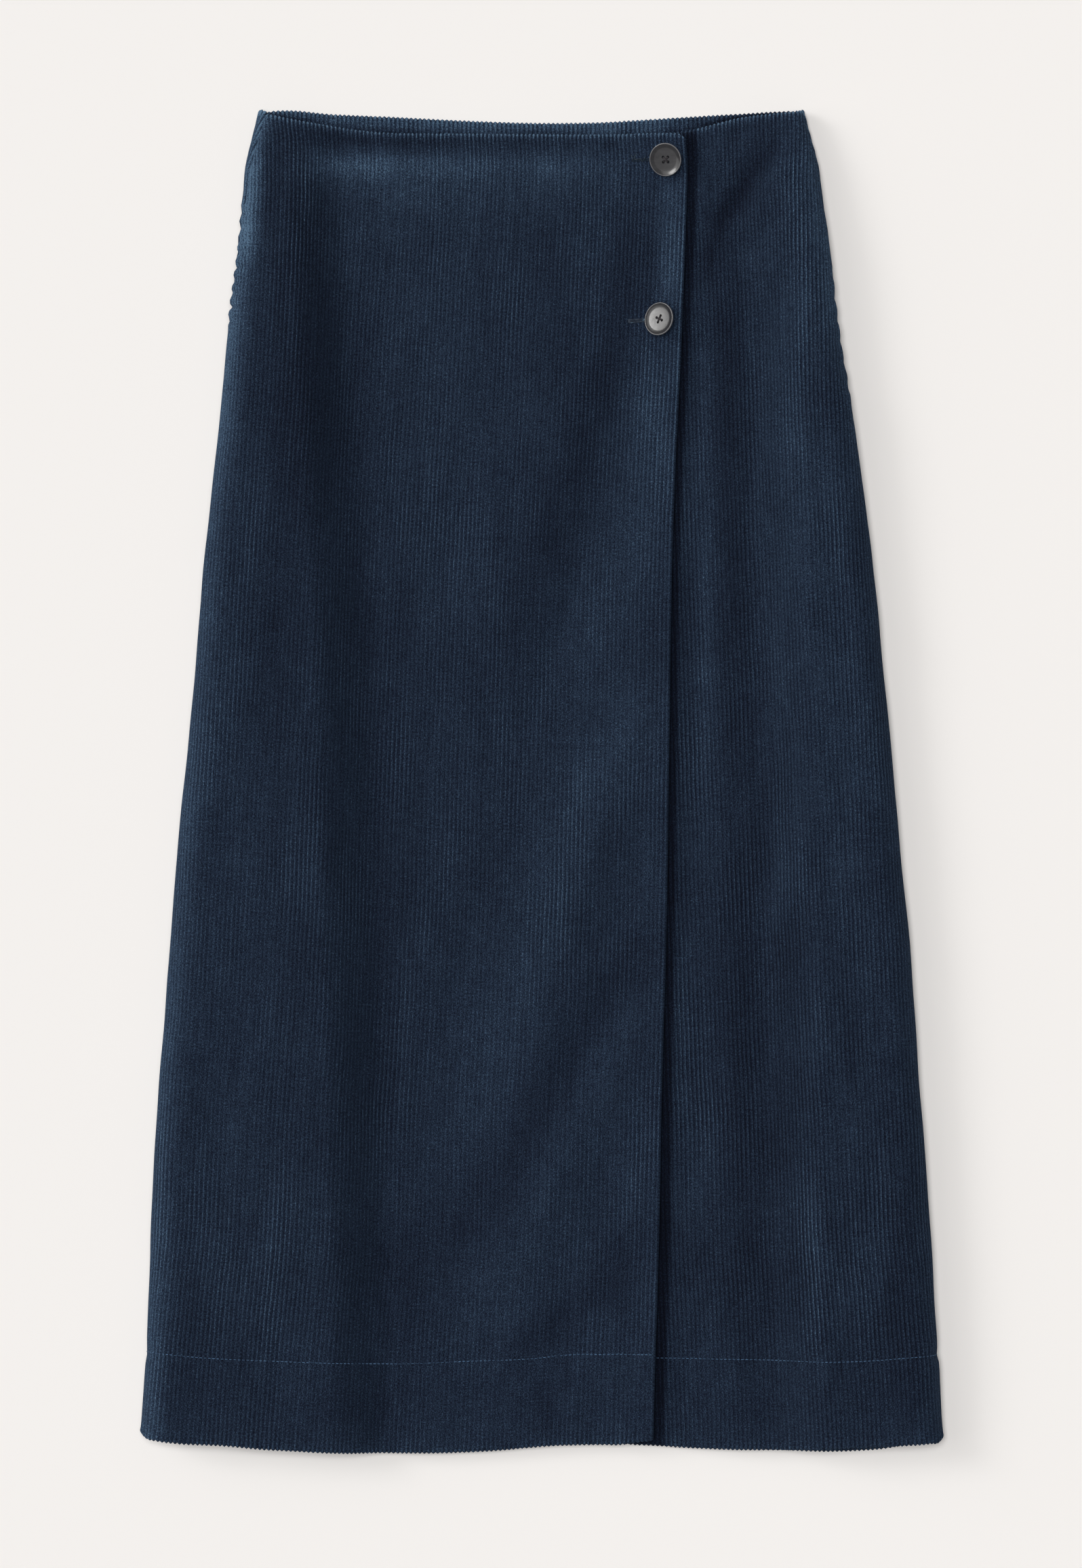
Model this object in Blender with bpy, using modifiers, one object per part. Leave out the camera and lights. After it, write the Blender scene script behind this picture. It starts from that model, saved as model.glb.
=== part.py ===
"""A navy corduroy wrap skirt, laid flat with its front up.

Frame: +X to the right over the front, +Y towards the waist, +Z up from the floor, with the
origin on the floor under the middle of the skirt.  Sizes are in millimetres, and points turn
into metres when a mesh is made.

Each panel is a wall between an outer surface, which carries the raised wales, and a plain inner
one.  A row runs across the panel at one share of the way from waist to hem.  Its section is
worked out from the sizes below, and points are spaced along it by arc length, because wales keep
their pitch in the cloth.
"""
import math
from collections import namedtuple

import bmesh
import bpy
import numpy as np
from mathutils import Matrix, Vector

MM = 0.001
COLLECTION = "wrap_skirt"

# Cloth
WALE_PITCH = 2.82          # nine wales to the inch
WALE_HEIGHT = 0.7
CLOTH = 1.2                # wall under the wales
DOUBLED = 2.4              # wall where the cloth is turned back or faced
SEAM_GAP = 0.4
LAYER_GAP = 0.4
SEAM_RISE = 0.6            # share of a wale's height that is left where it runs into a seam
SCALLOP = 0.5              # how far a wale's end stands past the cloth's edge

# Depths of the doubled strips
LENGTH = 832.0             # front, from waist edge to hem edge
HEM_DEPTH = 54.0
WAIST_DEPTH = 50.0
EDGE_DEPTH = 50.0
RAMP = 6.0                 # length over which a doubled strip ends

# Free edge of the over-wrap
EDGE_LIFT = 4.6            # how far it stands above the cloth beside it
EDGE_LIFT_REACH = 46.0
UNDER_DROP = 3.4           # under-wrap below the over-wrap's surface, where they overlap
UNDER_DROP_END = (88.0, 128.0)   # x over which that drop runs out

FALL_HALF = 20.0           # half-width of the slope beside a rolled side
FACING_SIDE_HEIGHT = 0.06  # how far up the rolled sides the back facing reaches
LOW_SHARE = 0.4            # height of a side's widest point, as a share of the roll's height

# Sections of the laid skirt, from waist to hem.
#   left, right    outline of the sides
#   roll           width of the rounded side
#   crest, mid     height of the front over the sides and over the middle
#   fall_left, fall_right   middle of the slopes between those heights
#   seam_left, seam_right   where the side seams lie on the roll: degrees above its widest point
Section = namedtuple("Section", "y left right roll crest mid fall_left fall_right seam_left seam_right")
SECTIONS = [
    Section(426.0, -178.6, 165.2, 7.0, 15.0, 11.9, -143.0, 140.0, 62.0, 20.0),
    Section(410.0, -183.0, 169.6, 9.0, 18.5, 11.9, -143.0, 141.0, 54.0, 16.0),
    Section(392.6, -187.3, 174.4, 11.0, 21.5, 11.7, -143.0, 143.0, 44.0, 12.0),
    Section(366.8, -189.4, 178.2, 13.0, 24.5, 11.0, -143.0, 145.0, 24.0, 8.0),
    Section(341.0, -191.6, 182.1, 14.5, 26.5, 9.8, -142.0, 147.0, 6.0, 5.0),
    Section(298.0, -197.2, 186.4, 16.0, 28.0, 8.6, -139.0, 149.0, -4.0, 2.0),
    Section(212.0, -205.8, 199.7, 17.0, 29.0, 7.8, -134.0, 151.0, -16.0, -4.0),
    Section(126.0, -214.8, 210.5, 17.5, 29.0, 7.6, -129.0, 153.0, -27.0, -16.0),
    Section(40.0, -222.5, 219.1, 18.0, 29.0, 7.6, -126.0, 155.0, -36.0, -28.0),
    Section(-46.0, -230.7, 227.3, 18.0, 29.0, 7.6, -123.0, 157.0, -42.0, -36.0),
    Section(-132.0, -237.6, 234.6, 18.0, 29.0, 7.6, -120.5, 158.5, -46.0, -42.0),
    Section(-218.0, -244.0, 240.6, 18.0, 29.0, 7.8, -118.0, 160.0, -49.0, -46.0),
    Section(-304.0, -248.3, 247.5, 18.0, 28.5, 8.8, -116.5, 161.5, -51.0, -49.0),
    Section(-347.0, -249.8, 249.4, 17.5, 28.0, 10.2, -116.0, 162.0, -52.0, -50.0),
    Section(-390.0, -251.8, 252.2, 16.5, 26.5, 10.6, -116.0, 162.0, -52.0, -51.0),
    Section(-428.0, -253.5, 253.6, 15.0, 25.0, 10.6, -116.0, 162.0, -52.0, -52.0),
]

# Soft folds of the front: a ridge, or a trough where height is negative, along a line.
Fold = namedtuple("Fold", "x0 y0 x1 y1 width height")
FOLDS = [
    Fold(-176.0, 400.0, 10.0, 400.5, 6.5, -1.5),      # crease below the waist edge
    Fold(106.0, 392.0, 95.0, 355.0, 6.0, 1.3),        # drag from the upper button
    Fold(148.0, 408.0, 111.0, 348.0, 9.0, -1.6),
    Fold(-141.7, 412.0, -137.0, 355.0, 5.0, -1.2),    # hip dart
    Fold(15.0, 285.0, -45.0, 35.0, 27.0, 4.0),
    Fold(58.0, 262.0, 4.0, 15.0, 19.0, -1.6),
    Fold(72.0, 70.0, 6.0, -95.0, 25.0, 4.0),
    Fold(10.0, -40.0, -20.0, -360.0, 24.0, 3.4),
    Fold(70.0, -98.0, -28.0, -250.0, 15.0, -1.8),
    Fold(68.0, -160.0, -50.0, -345.0, 18.0, 2.6),
    Fold(62.0, -275.0, 2.0, -372.0, 17.0, -1.6),
    Fold(108.0, 350.0, 118.0, -330.0, 12.0, 2.2),     # under-wrap, beside the free edge
]

# Cloth edges across the skirt
Edge = namedtuple("Edge", "x front_waist back_waist front_hem back_hem")
EDGES = [
    Edge(-254.5, 424.0, 424.6, -411.0, -411.0),
    Edge(-250.5, 424.0, 424.6, -415.2, -414.8),
    Edge(-244.0, 424.0, 424.6, -417.0, -416.2),
    Edge(-234.0, 424.0, 424.6, -418.3, -417.2),
    Edge(-200.0, 424.0, 424.6, -420.1, -418.6),
    Edge(-176.0, 423.0, 424.9, -422.4, -419.4),
    Edge(-163.0, 420.3, 425.6, -423.2, -419.8),
    Edge(-133.0, 415.0, 423.1, -424.8, -421.0),
    Edge(-103.0, 411.2, 421.8, -425.4, -421.8),
    Edge(-64.0, 410.5, 419.8, -425.6, -422.0),
    Edge(-28.0, 410.2, 418.2, -424.0, -421.5),
    Edge(7.0, 410.0, 417.5, -421.0, -419.0),
    Edge(41.0, 409.8, 418.2, -420.4, -418.0),
    Edge(70.0, 410.9, 420.0, -421.0, -418.4),
    Edge(92.0, 412.4, 421.4, -422.4, -419.6),
    Edge(110.0, 416.8, 422.5, -423.2, -421.0),
    Edge(127.0, 420.8, 423.5, -423.6, -422.6),
    Edge(150.0, 423.2, 424.8, -423.5, -423.6),
    Edge(166.0, 425.0, 425.4, -423.0, -424.6),
    Edge(200.0, 425.0, 425.4, -421.2, -424.4),
    Edge(218.0, 425.0, 425.4, -420.4, -423.0),
    Edge(232.0, 425.0, 425.4, -419.8, -420.4),
    Edge(246.0, 425.0, 425.4, -418.8, -418.4),
    Edge(252.0, 425.0, 425.4, -417.6, -417.0),
    Edge(255.0, 425.0, 425.4, -413.5, -413.5),
]

# The over-wrap's free edge, and its own waist and hem beside it
FreeEdge = namedtuple("FreeEdge", "y x")
FREE_EDGE = [
    FreeEdge(410.0, 90.5), FreeEdge(394.0, 91.8), FreeEdge(366.0, 91.4), FreeEdge(319.0, 89.8),
    FreeEdge(263.0, 87.5), FreeEdge(195.0, 84.2), FreeEdge(126.0, 82.0), FreeEdge(23.0, 80.6),
    FreeEdge(-80.0, 79.0), FreeEdge(-184.0, 76.2), FreeEdge(-287.0, 74.0), FreeEdge(-390.0, 71.0),
    FreeEdge(-420.0, 70.3),
]
OVER_CORNER_WAIST = (82.0, 92.0, 3.2)    # from x, to x, how far the edge's corner is rounded down
OVER_CORNER_HEM = (45.0, 70.0, 3.2)
UNDER_EDGE_WAIST = -80.0                 # the under-wrap's hidden free edge
UNDER_EDGE_HEM = -72.0
HIDDEN_SHORT = 1.5                       # the under-wrap is shorter where it is hidden

# Wales lie closer together towards the gathered waist
PITCH_WAIST_OVER = 0.91
PITCH_WAIST_UNDER = 0.90
UNDER_WALES_FROM = 48.0    # x at the hem where the under-wrap's raised wales begin
BACK_WALES_REACH = 24.0    # the back's wales are raised this far from its seams, off the floor
BACK_FLAT_STEP = 14        # wales between points of the back where it lies flat
UNDER_HIDDEN_STEP = 4      # wales between points where the under-wrap is hidden and plain

# Shares of the way from waist to hem where a row of points lies
ROWS = [0.0, 0.0125, 0.035, 0.085, 0.16, 0.25, 0.34, 0.43, 0.52, 0.61, 0.70, 0.80, 0.932, 1.0]

# Buttons
BUTTON_RADIUS = 10.6
BUTTON_HOLE_RADIUS = 0.9
BUTTON_HOLE_SPACING = 3.0
BUTTON_STEPS = 20
Button = namedtuple("Button", "name x y tilt towards turn")
BUTTONS = [
    Button("button_upper", 78.5, 394.4, 16.0, 222.0, 2.0),
    Button("button_lower", 74.0, 293.7, 31.0, 167.0, 20.0),
]


def column(rows, key, at, along="y"):
    """The named column of a table, read smoothly at the given places."""
    place = np.array([getattr(row, along) for row in rows])
    value = np.array([getattr(row, key) for row in rows])
    order = np.argsort(place)
    place, value = place[order], value[order]
    slope = np.gradient(value, place)
    at = np.clip(np.asarray(at, dtype=float), place[0], place[-1])
    left = np.clip(np.searchsorted(place, at) - 1, 0, len(place) - 2)
    span = place[left + 1] - place[left]
    t = (at - place[left]) / span
    h00 = (1 + 2 * t) * (1 - t) ** 2
    h10 = t * (1 - t) ** 2
    h01 = t * t * (3 - 2 * t)
    h11 = t * t * (t - 1)
    return (h00 * value[left] + h10 * span * slope[left]
            + h01 * value[left + 1] + h11 * span * slope[left + 1])


def smooth(low, high, value):
    """0 below low, 1 above high, and a smooth step between."""
    t = np.clip((value - low) / (high - low), 0.0, 1.0)
    return t * t * (3 - 2 * t)


def fold_height(x, y):
    total = np.zeros_like(x)
    for fold in FOLDS:
        dx, dy = fold.x1 - fold.x0, fold.y1 - fold.y0
        size = math.hypot(dx, dy)
        along = ((x - fold.x0) * dx + (y - fold.y0) * dy) / size
        across = ((x - fold.x0) * dy - (y - fold.y0) * dx) / size
        ends = smooth(-0.12 * size, 0.25 * size, along) * smooth(1.12 * size, 0.75 * size, along)
        total += fold.height * np.exp(-(across / fold.width) ** 2) * ends
    return total


def front_height(x, y):
    """The front as one surface, before the two wraps part."""
    crest, mid = column(SECTIONS, "crest", y), column(SECTIONS, "mid", y)
    fall_left, fall_right = column(SECTIONS, "fall_left", y), column(SECTIONS, "fall_right", y)
    sides = (smooth(fall_left + FALL_HALF, fall_left - FALL_HALF, x)
             + smooth(fall_right - FALL_HALF, fall_right + FALL_HALF, x))
    return mid + (crest - mid) * sides + fold_height(x, y)


def free_edge(y):
    return column(FREE_EDGE, "x", y)


def over_height(x, y):
    inside = np.clip((free_edge(y) - x) / EDGE_LIFT_REACH, 0.0, 1.0)
    return front_height(x, y) + EDGE_LIFT * (1 - inside) ** 2


def under_height(x, y):
    return front_height(x, y) - UNDER_DROP * smooth(UNDER_DROP_END[1], UNDER_DROP_END[0], x)


def row_y(share, x, waist, hem):
    return waist(x) * (1 - share) + hem(x) * share


def front_waist(x):
    return column(EDGES, "front_waist", x, "x")


def front_hem(x):
    return column(EDGES, "front_hem", x, "x")


def back_waist(x):
    return column(EDGES, "back_waist", x, "x")


def back_hem(x):
    return column(EDGES, "back_hem", x, "x")


def over_waist(x):
    start, end, round_off = OVER_CORNER_WAIST
    return (np.minimum(front_waist(x), 410.6 + smooth(-60.0, -110.0, x) * 20.0)
            - round_off * np.clip((x - start) / (end - start), 0.0, 1.0) ** 2)


def over_hem(x):
    start, end, round_off = OVER_CORNER_HEM
    return front_hem(x) + round_off * smooth(start, end, x)


def under_waist(x):
    return front_waist(x) - HIDDEN_SHORT * smooth(82.0, 62.0, x)


def under_hem(x):
    return front_hem(x) + HIDDEN_SHORT * smooth(62.0, 42.0, x)


def wall(share, from_edge):
    """Thickness of a front panel under its wales."""
    down = share * LENGTH
    doubled = np.maximum(smooth(WAIST_DEPTH + RAMP, WAIST_DEPTH, down),
                         smooth(LENGTH - HEM_DEPTH - RAMP, LENGTH - HEM_DEPTH, down))
    doubled = np.maximum(doubled, smooth(EDGE_DEPTH + RAMP, EDGE_DEPTH, from_edge))
    return CLOTH + (DOUBLED - CLOTH) * doubled


class Row:
    """One row of a panel: its section, read by arc length along it."""

    def __init__(self, x, y, z, side, flat):
        self.x, self.y, self.z = x, y, z
        self.flat = flat                         # first and last sample between the rolls
        self.arc = np.concatenate([[0.0], np.cumsum(np.hypot(np.diff(x), np.diff(z)))])
        tx, tz = np.gradient(x, self.arc), np.gradient(z, self.arc)
        size = np.hypot(tx, tz)
        self.nx, self.nz = -side * tz / size, side * tx / size
        self.length = self.arc[-1]

    def arc_at(self, x):
        """The arc length at a place between the rolled sides."""
        first, last = self.flat
        sign = 1 if self.x[last] > self.x[first] else -1
        return float(np.interp(sign * x, sign * self.x[first:last + 1], self.arc[first:last + 1]))

    def at(self, arc, raised=0.0):
        """The point at an arc length, moved out along the section's normal."""
        read = [np.interp(arc, self.arc, values) for values in (self.x, self.y, self.z, self.nx, self.nz)]
        x, y, z, nx, nz = read
        size = math.hypot(nx, nz)
        return (x + raised * nx / size, y, z + raised * nz / size)


def side_roll(y, side, top, start_angle, end_angle):
    """The rounded side between two angles, in degrees above its widest point."""
    key = "left" if side < 0 else "right"
    roll = column(SECTIONS, "roll", y)
    centre = column(SECTIONS, key, y) - side * roll
    low = LOW_SHARE * column(SECTIONS, "crest", y)
    angle = np.radians(np.linspace(start_angle, end_angle, 40))
    z = np.where(angle > 0, low + (top - low) * np.sin(angle), low + low * np.sin(angle))
    return centre + side * roll * np.cos(angle), z


def roll_start(y, side):
    key = "left" if side < 0 else "right"
    return column(SECTIONS, key, y) - side * column(SECTIONS, "roll", y)


def seam_angle(y, side):
    return float(column(SECTIONS, "seam_left" if side < 0 else "seam_right", y))


def front_row(share, side, height, waist, hem, start_x):
    """From a free edge across the front and round the side to its seam."""
    limit = side * 260.0
    for _ in range(4):
        y_side = float(row_y(share, limit, waist, hem))
        limit = float(roll_start(y_side, side))
    x = np.linspace(start_x, limit, 400)
    y = row_y(share, x, waist, hem)
    z = height(x, y)
    top = z[-1]
    seam = seam_angle(y_side, side)
    gap = math.degrees(SEAM_GAP / 2 / (LOW_SHARE * top))
    roll_x, roll_z = side_roll(y_side, side, top, 90.0, seam + gap)
    roll_y = row_y(share, roll_x, waist, hem)
    return Row(np.concatenate([x, roll_x[1:]]), np.concatenate([y, roll_y[1:]]),
               np.concatenate([z, roll_z[1:]]), side, (0, len(x) - 1))


def over_row(share):
    start = 85.0
    for _ in range(4):
        start = float(free_edge(row_y(share, start, over_waist, over_hem)))
    return front_row(share, -1, over_height, over_waist, over_hem, start)


def under_row(share):
    start = UNDER_EDGE_WAIST + (UNDER_EDGE_HEM - UNDER_EDGE_WAIST) * share
    return front_row(share, 1, under_height, under_waist, under_hem, start)


def back_row(share, waist=back_waist, hem=back_hem):
    """From the left seam under the skirt to the right seam."""
    parts = []
    for side, height in ((-1, over_height), (1, under_height)):
        start = side * 220.0
        for _ in range(4):
            y_side = float(row_y(share, start, waist, hem))
            start = float(roll_start(y_side, side))
        top = float(height(np.array([start]), np.array([y_side]))[0])
        gap = math.degrees(SEAM_GAP / 2 / (LOW_SHARE * top))
        x, z = side_roll(y_side, side, top, -90.0, seam_angle(y_side, side) - gap)
        parts.append((x, z, start))
    flat_x = np.linspace(parts[0][2], parts[1][2], 300)
    x = np.concatenate([parts[0][0][::-1], flat_x[1:-1], parts[1][0]])
    z = np.concatenate([parts[0][1][::-1], np.zeros(298), parts[1][1]])
    flat = (len(parts[0][0]) - 1, len(x) - len(parts[1][0]))
    return Row(x, row_y(share, x, waist, hem), z, -1, flat)


def zip_lines(mesh, first, second):
    """Faces between two lines of vertices that run the same way."""
    def shares(line):
        steps = [(b.co - a.co).length for a, b in zip(line, line[1:])]
        total = sum(steps)
        place, out = 0.0, [0.0]
        for step in steps:
            place += step
            out.append(place / total)
        return out

    a, b = shares(first), shares(second)
    i = j = 0
    while i < len(first) - 1 or j < len(second) - 1:
        if j == len(second) - 1 or (i < len(first) - 1 and a[i + 1] <= b[j + 1]):
            mesh.faces.new((first[i], first[i + 1], second[j]))
            i += 1
        else:
            mesh.faces.new((first[i], second[j + 1], second[j]))
            j += 1


def fill(mesh, points):
    """Triangles over a small polygon, as a fan from its last point."""
    distinct = []
    for point in points:
        if point not in distinct:
            distinct.append(point)
    for a, b in zip(distinct, distinct[1:-1]):
        mesh.faces.new((distinct[-1], a, b))


class Panel:
    """A wall of cloth: raised wales outside, plain inside."""

    def __init__(self, name, row_at, shares, wall_at, knots_at, counts, columns, pitch_at, start_at):
        self.name, self.row_at, self.shares = name, row_at, shares
        self.wall_at, self.knots_at, self.counts = wall_at, knots_at, counts
        self.columns, self.pitch_at, self.start_at = columns, pitch_at, start_at
        self.rows = [row_at(share) for share in shares]

    def arc(self, index, share, row):
        return self.start_at(row) + index * self.pitch_at(share)

    def first_share(self, index, samples):
        """Where a wale that runs off at a seam begins, as a share of the panel's height."""
        arcs = [self.arc(index, share, row) for share, row in samples]
        room = [min(arc, row.length - arc) - SEAM_GAP for arc, (_, row) in zip(arcs, samples)]
        outside = [k for k, value in enumerate(room) if value <= 0.0]
        if not outside:
            return 0.0
        k = outside[-1]
        if k == len(samples) - 1:
            return 1.0
        part = -room[k] / (room[k + 1] - room[k])
        return samples[k][0] * (1 - part) + samples[k + 1][0] * part

    def outer_lines(self, mesh):
        """Vertices of the outer surface: rows of columns, with the ends of each row."""
        samples = [(share, self.row_at(share)) for share in np.linspace(0.0, 1.0, 81)]
        starts = {index: self.first_share(index, samples) for index, _ in self.columns}
        rows, seams = [], {}
        for share, row in zip(self.shares, self.rows):
            points = {}
            for index, height in self.columns:
                arc = self.arc(index, share, row)
                if (starts[index] < share or starts[index] == 0.0) and self.keeps(index, arc, row):
                    raised = self.raised(height, arc, row)
                    x, y, z = row.at(arc, raised)
                    if raised and share in (0.0, 1.0):
                        y += SCALLOP * (1 if share == 0.0 else -1)
                    points[index] = mesh.verts.new((x, y, z))
            ends = [mesh.verts.new(row.at(arc, self.end_drop(arc, share))) for arc in (0.0, row.length)]
            rows.append((points, ends))
        for index, raised in self.columns:
            if 0.0 < starts[index] < 1.0:
                seams[index] = mesh.verts.new(self.seam_point(index, starts[index], raised, rows))
        return rows, seams

    def seam_point(self, index, share, raised, rows):
        """Where a wale meets the seam, which runs straight from row to row."""
        k = int(np.searchsorted(self.shares, share)) - 1
        edge = 1 if self.arc(index, share, self.rows[k]) > self.rows[k].length / 2 else 0
        part = (share - self.shares[k]) / (self.shares[k + 1] - self.shares[k])
        x, y, z = rows[k][1][edge].co.lerp(rows[k + 1][1][edge].co, part)
        row = self.rows[k]
        nx, nz = row.nx[-edge], row.nz[-edge]
        return (x + SEAM_RISE * raised * nx, y, z + SEAM_RISE * raised * nz)

    def end_drop(self, arc, share):
        """How far the end of a row lies above its section."""
        return 0.0

    def keeps(self, index, arc, row):
        """Whether a column has a point in a row."""
        return True

    def raised(self, height, arc, row):
        """How far a wale stands out at a place."""
        return height

    def inner_lines(self, mesh):
        lines = []
        for share, row in zip(self.shares, self.rows):
            knots = self.knots_at(row)
            arcs = [knots[0]]
            for low, high, count in zip(knots, knots[1:], self.counts):
                arcs.extend(np.linspace(low, high, count + 1)[1:])
            lines.append([mesh.verts.new(row.at(arc, -float(self.wall_at(share, arc)))) for arc in arcs])
        return lines

    def build(self, material):
        mesh = bmesh.new()
        rows, seams = self.outer_lines(mesh)
        low_line, high_line = [rows[0][1][0]], [rows[0][1][1]]
        for k in range(len(rows) - 1):
            (upper, upper_ends), (lower, lower_ends) = rows[k], rows[k + 1]
            both = sorted(set(upper) & set(lower))
            for a, b in zip(both, both[1:]):
                top = [upper[i] for i in sorted(upper) if a <= i <= b]
                bottom = [lower[i] for i in sorted(lower, reverse=True) if a <= i <= b]
                fill(mesh, top + bottom)
            for edge, line, last in ((0, low_line, both[0]), (1, high_line, both[-1])):
                new = sorted((i for i in set(lower) - set(upper)
                              if (i > last) == bool(edge)), reverse=not edge)
                top = [upper_ends[edge]] + [seams[i] for i in new] + [lower_ends[edge]]
                bottom = [lower[i] for i in new] + [lower_ends[edge]]
                fill(mesh, [upper[last], top[0], top[1], bottom[0], lower[last]])
                for i in range(len(new)):
                    fill(mesh, [bottom[i], top[i + 1], top[i + 2], bottom[i + 1]])
                line.extend(top[1:])
        inner = self.inner_lines(mesh)
        for upper, lower in zip(inner, inner[1:]):
            for i in range(len(upper) - 1):
                fill(mesh, [upper[i], upper[i + 1], lower[i + 1], lower[i]])
        for (points, ends), line in ((rows[0], inner[0]), (rows[-1], inner[-1])):
            zip_lines(mesh, [ends[0]] + [points[i] for i in sorted(points)] + [ends[1]], line)
        zip_lines(mesh, low_line, [line[0] for line in inner])
        zip_lines(mesh, high_line, [line[-1] for line in inner])
        bmesh.ops.recalc_face_normals(mesh, faces=mesh.faces)
        return add_object(self.name, mesh, material)


def add_object(name, mesh, material):
    bmesh.ops.scale(mesh, vec=(MM, MM, MM), verts=mesh.verts)
    data = bpy.data.meshes.new(name)
    mesh.to_mesh(data)
    mesh.free()
    data.materials.append(material)
    piece = bpy.data.objects.new(name, data)
    bpy.data.collections[COLLECTION].objects.link(piece)
    return piece


# Panels -------------------------------------------------------------------------------------

def pitch_over(share):
    return WALE_PITCH * (PITCH_WAIST_OVER + (1 - PITCH_WAIST_OVER) * share)


def pitch_under(share):
    return WALE_PITCH * (PITCH_WAIST_UNDER + (1 - PITCH_WAIST_UNDER) * share)


def wales(first, last):
    """Crests and valleys, in wales from where the panel's wales are counted."""
    return [(half / 2, WALE_HEIGHT if half % 2 else 0.0) for half in range(2 * first, 2 * last)]


def over_wrap(material):
    def knots(row):
        y = float(row.y[row.flat[1]])
        fall = float(column(SECTIONS, "fall_left", y))
        start = row.x[row.flat[1]]
        return [0.0, row.arc_at(fall + FALL_HALF + 4), row.arc_at(max(fall - FALL_HALF, start + 2)),
                row.arc_at(start), row.length]

    panel = Panel("front_over_wrap", over_row, ROWS, wall, knots, (17, 8, 4, 9),
                  wales(0, 150)[1:], pitch_over, lambda row: 0.0)
    panel.end_drop = lambda arc, share: -0.3 * float(wall(share, 0.0)) if arc == 0.0 else 0.0
    return panel.build(material)


def under_wrap(material):
    def knots(row):
        y = float(row.y[row.flat[1]])
        fall = float(column(SECTIONS, "fall_right", y))
        start = row.x[row.flat[1]]
        return [0.0, row.arc_at(fall - FALL_HALF - 4), row.arc_at(min(fall + FALL_HALF, start - 2)),
                row.arc_at(start), row.length]

    def thickness(share, arc):
        return wall(share, 1000.0)

    first = int((UNDER_WALES_FROM - UNDER_EDGE_HEM) / WALE_PITCH)
    hidden = [(index, 0.0) for index in range(UNDER_HIDDEN_STEP, first - 1, UNDER_HIDDEN_STEP)]
    panel = Panel("front_under_wrap", under_row, ROWS, thickness, knots, (20, 8, 4, 9),
                  hidden + wales(first, 160), pitch_under, lambda row: 0.0)
    return panel.build(material)


def back_panel(material):
    def knots(row):
        return [0.0, row.arc[row.flat[0]], row.arc[row.flat[1]], row.length]

    def thickness(share, arc):
        doubled = smooth(LENGTH - HEM_DEPTH - RAMP, LENGTH - HEM_DEPTH, share * LENGTH)
        return CLOTH + (DOUBLED - CLOTH) * doubled

    def centre(row):
        nearest = int(np.argmin(np.abs(row.x)))
        return row.arc[nearest] - row.x[nearest]

    def keeps(index, arc, row):
        return index % BACK_FLAT_STEP == 0 or min(arc, row.length - arc) < BACK_WALES_REACH

    def raised(height, arc, row):
        return min(height, max(0.0, row.at(arc)[2]))

    panel = Panel("back_panel", back_row, ROWS, thickness, knots, (9, 12, 9), wales(-110, 110),
                  lambda share: WALE_PITCH, centre)
    panel.keeps, panel.raised = keeps, raised
    return panel.build(material)


def back_facing(material):
    """The facing of the back waist, which shows above the front's waist edge."""
    def facing_row(share):
        def end(x):
            return back_waist(x) - WAIST_DEPTH

        row = back_row(share, back_waist, end)
        keep = (row.z < FACING_SIDE_HEIGHT * row.z.max())
        inset = CLOTH + SEAM_GAP + CLOTH
        x, z = row.x - row.nx * inset, row.z - row.nz * inset
        first, last = np.flatnonzero(keep)[[0, -1]]
        flat = (row.flat[0] - first, row.flat[1] - first)
        return Row(x[first:last + 1], row.y[first:last + 1], z[first:last + 1], 1, flat)

    def knots(row):
        return [0.0, row.arc[row.flat[0]], row.arc[row.flat[1]], row.length]

    panel = Panel("back_waist_facing", facing_row, [0.0, 1.0], lambda share, arc: CLOTH, knots,
                  (1, 8, 1), wales(-70, 70), lambda share: WALE_PITCH,
                  lambda row: row.arc_at(0.0))
    return panel.build(material)


# Buttons ------------------------------------------------------------------------------------

# Half section of a button, from the middle of its dished face round the rim to its back
ButtonPoint = namedtuple("ButtonPoint", "radius height")
BUTTON_PROFILE = [
    ButtonPoint(0.0, 1.9), ButtonPoint(6.2, 1.9), ButtonPoint(7.0, 2.15), ButtonPoint(8.8, 3.1),
    ButtonPoint(9.7, 3.4), ButtonPoint(10.35, 3.2), ButtonPoint(BUTTON_RADIUS, 2.6),
    ButtonPoint(10.2, 1.4), ButtonPoint(8.0, 0.4), ButtonPoint(5.5, 0.0), ButtonPoint(0.0, 0.0),
]


def button_tilt(button):
    """Rotation of a button whose face leans by its tilt towards a direction in the plan."""
    lean = Vector((math.cos(math.radians(button.towards)), math.sin(math.radians(button.towards)), 0))
    axis = Vector((0, 0, 1)).cross(lean)
    return Matrix.Rotation(math.radians(button.tilt), 4, axis) @ Matrix.Rotation(
        math.radians(button.turn), 4, "Z")


def button_place(button):
    """Lowest place where the tilted button clears the wales below it."""
    turned = button_tilt(button)
    lift = 0.0
    for point in BUTTON_PROFILE[5:]:
        for step in range(36):
            angle = math.radians(10 * step)
            rim = turned @ Vector((point.radius * math.cos(angle), point.radius * math.sin(angle),
                                   point.height))
            cloth = over_height(np.array([button.x + rim.x]), np.array([button.y + rim.y]))[0]
            lift = max(lift, float(cloth) + WALE_HEIGHT + LAYER_GAP - rim.z)
    return Vector((button.x, button.y, lift)) * MM


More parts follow.
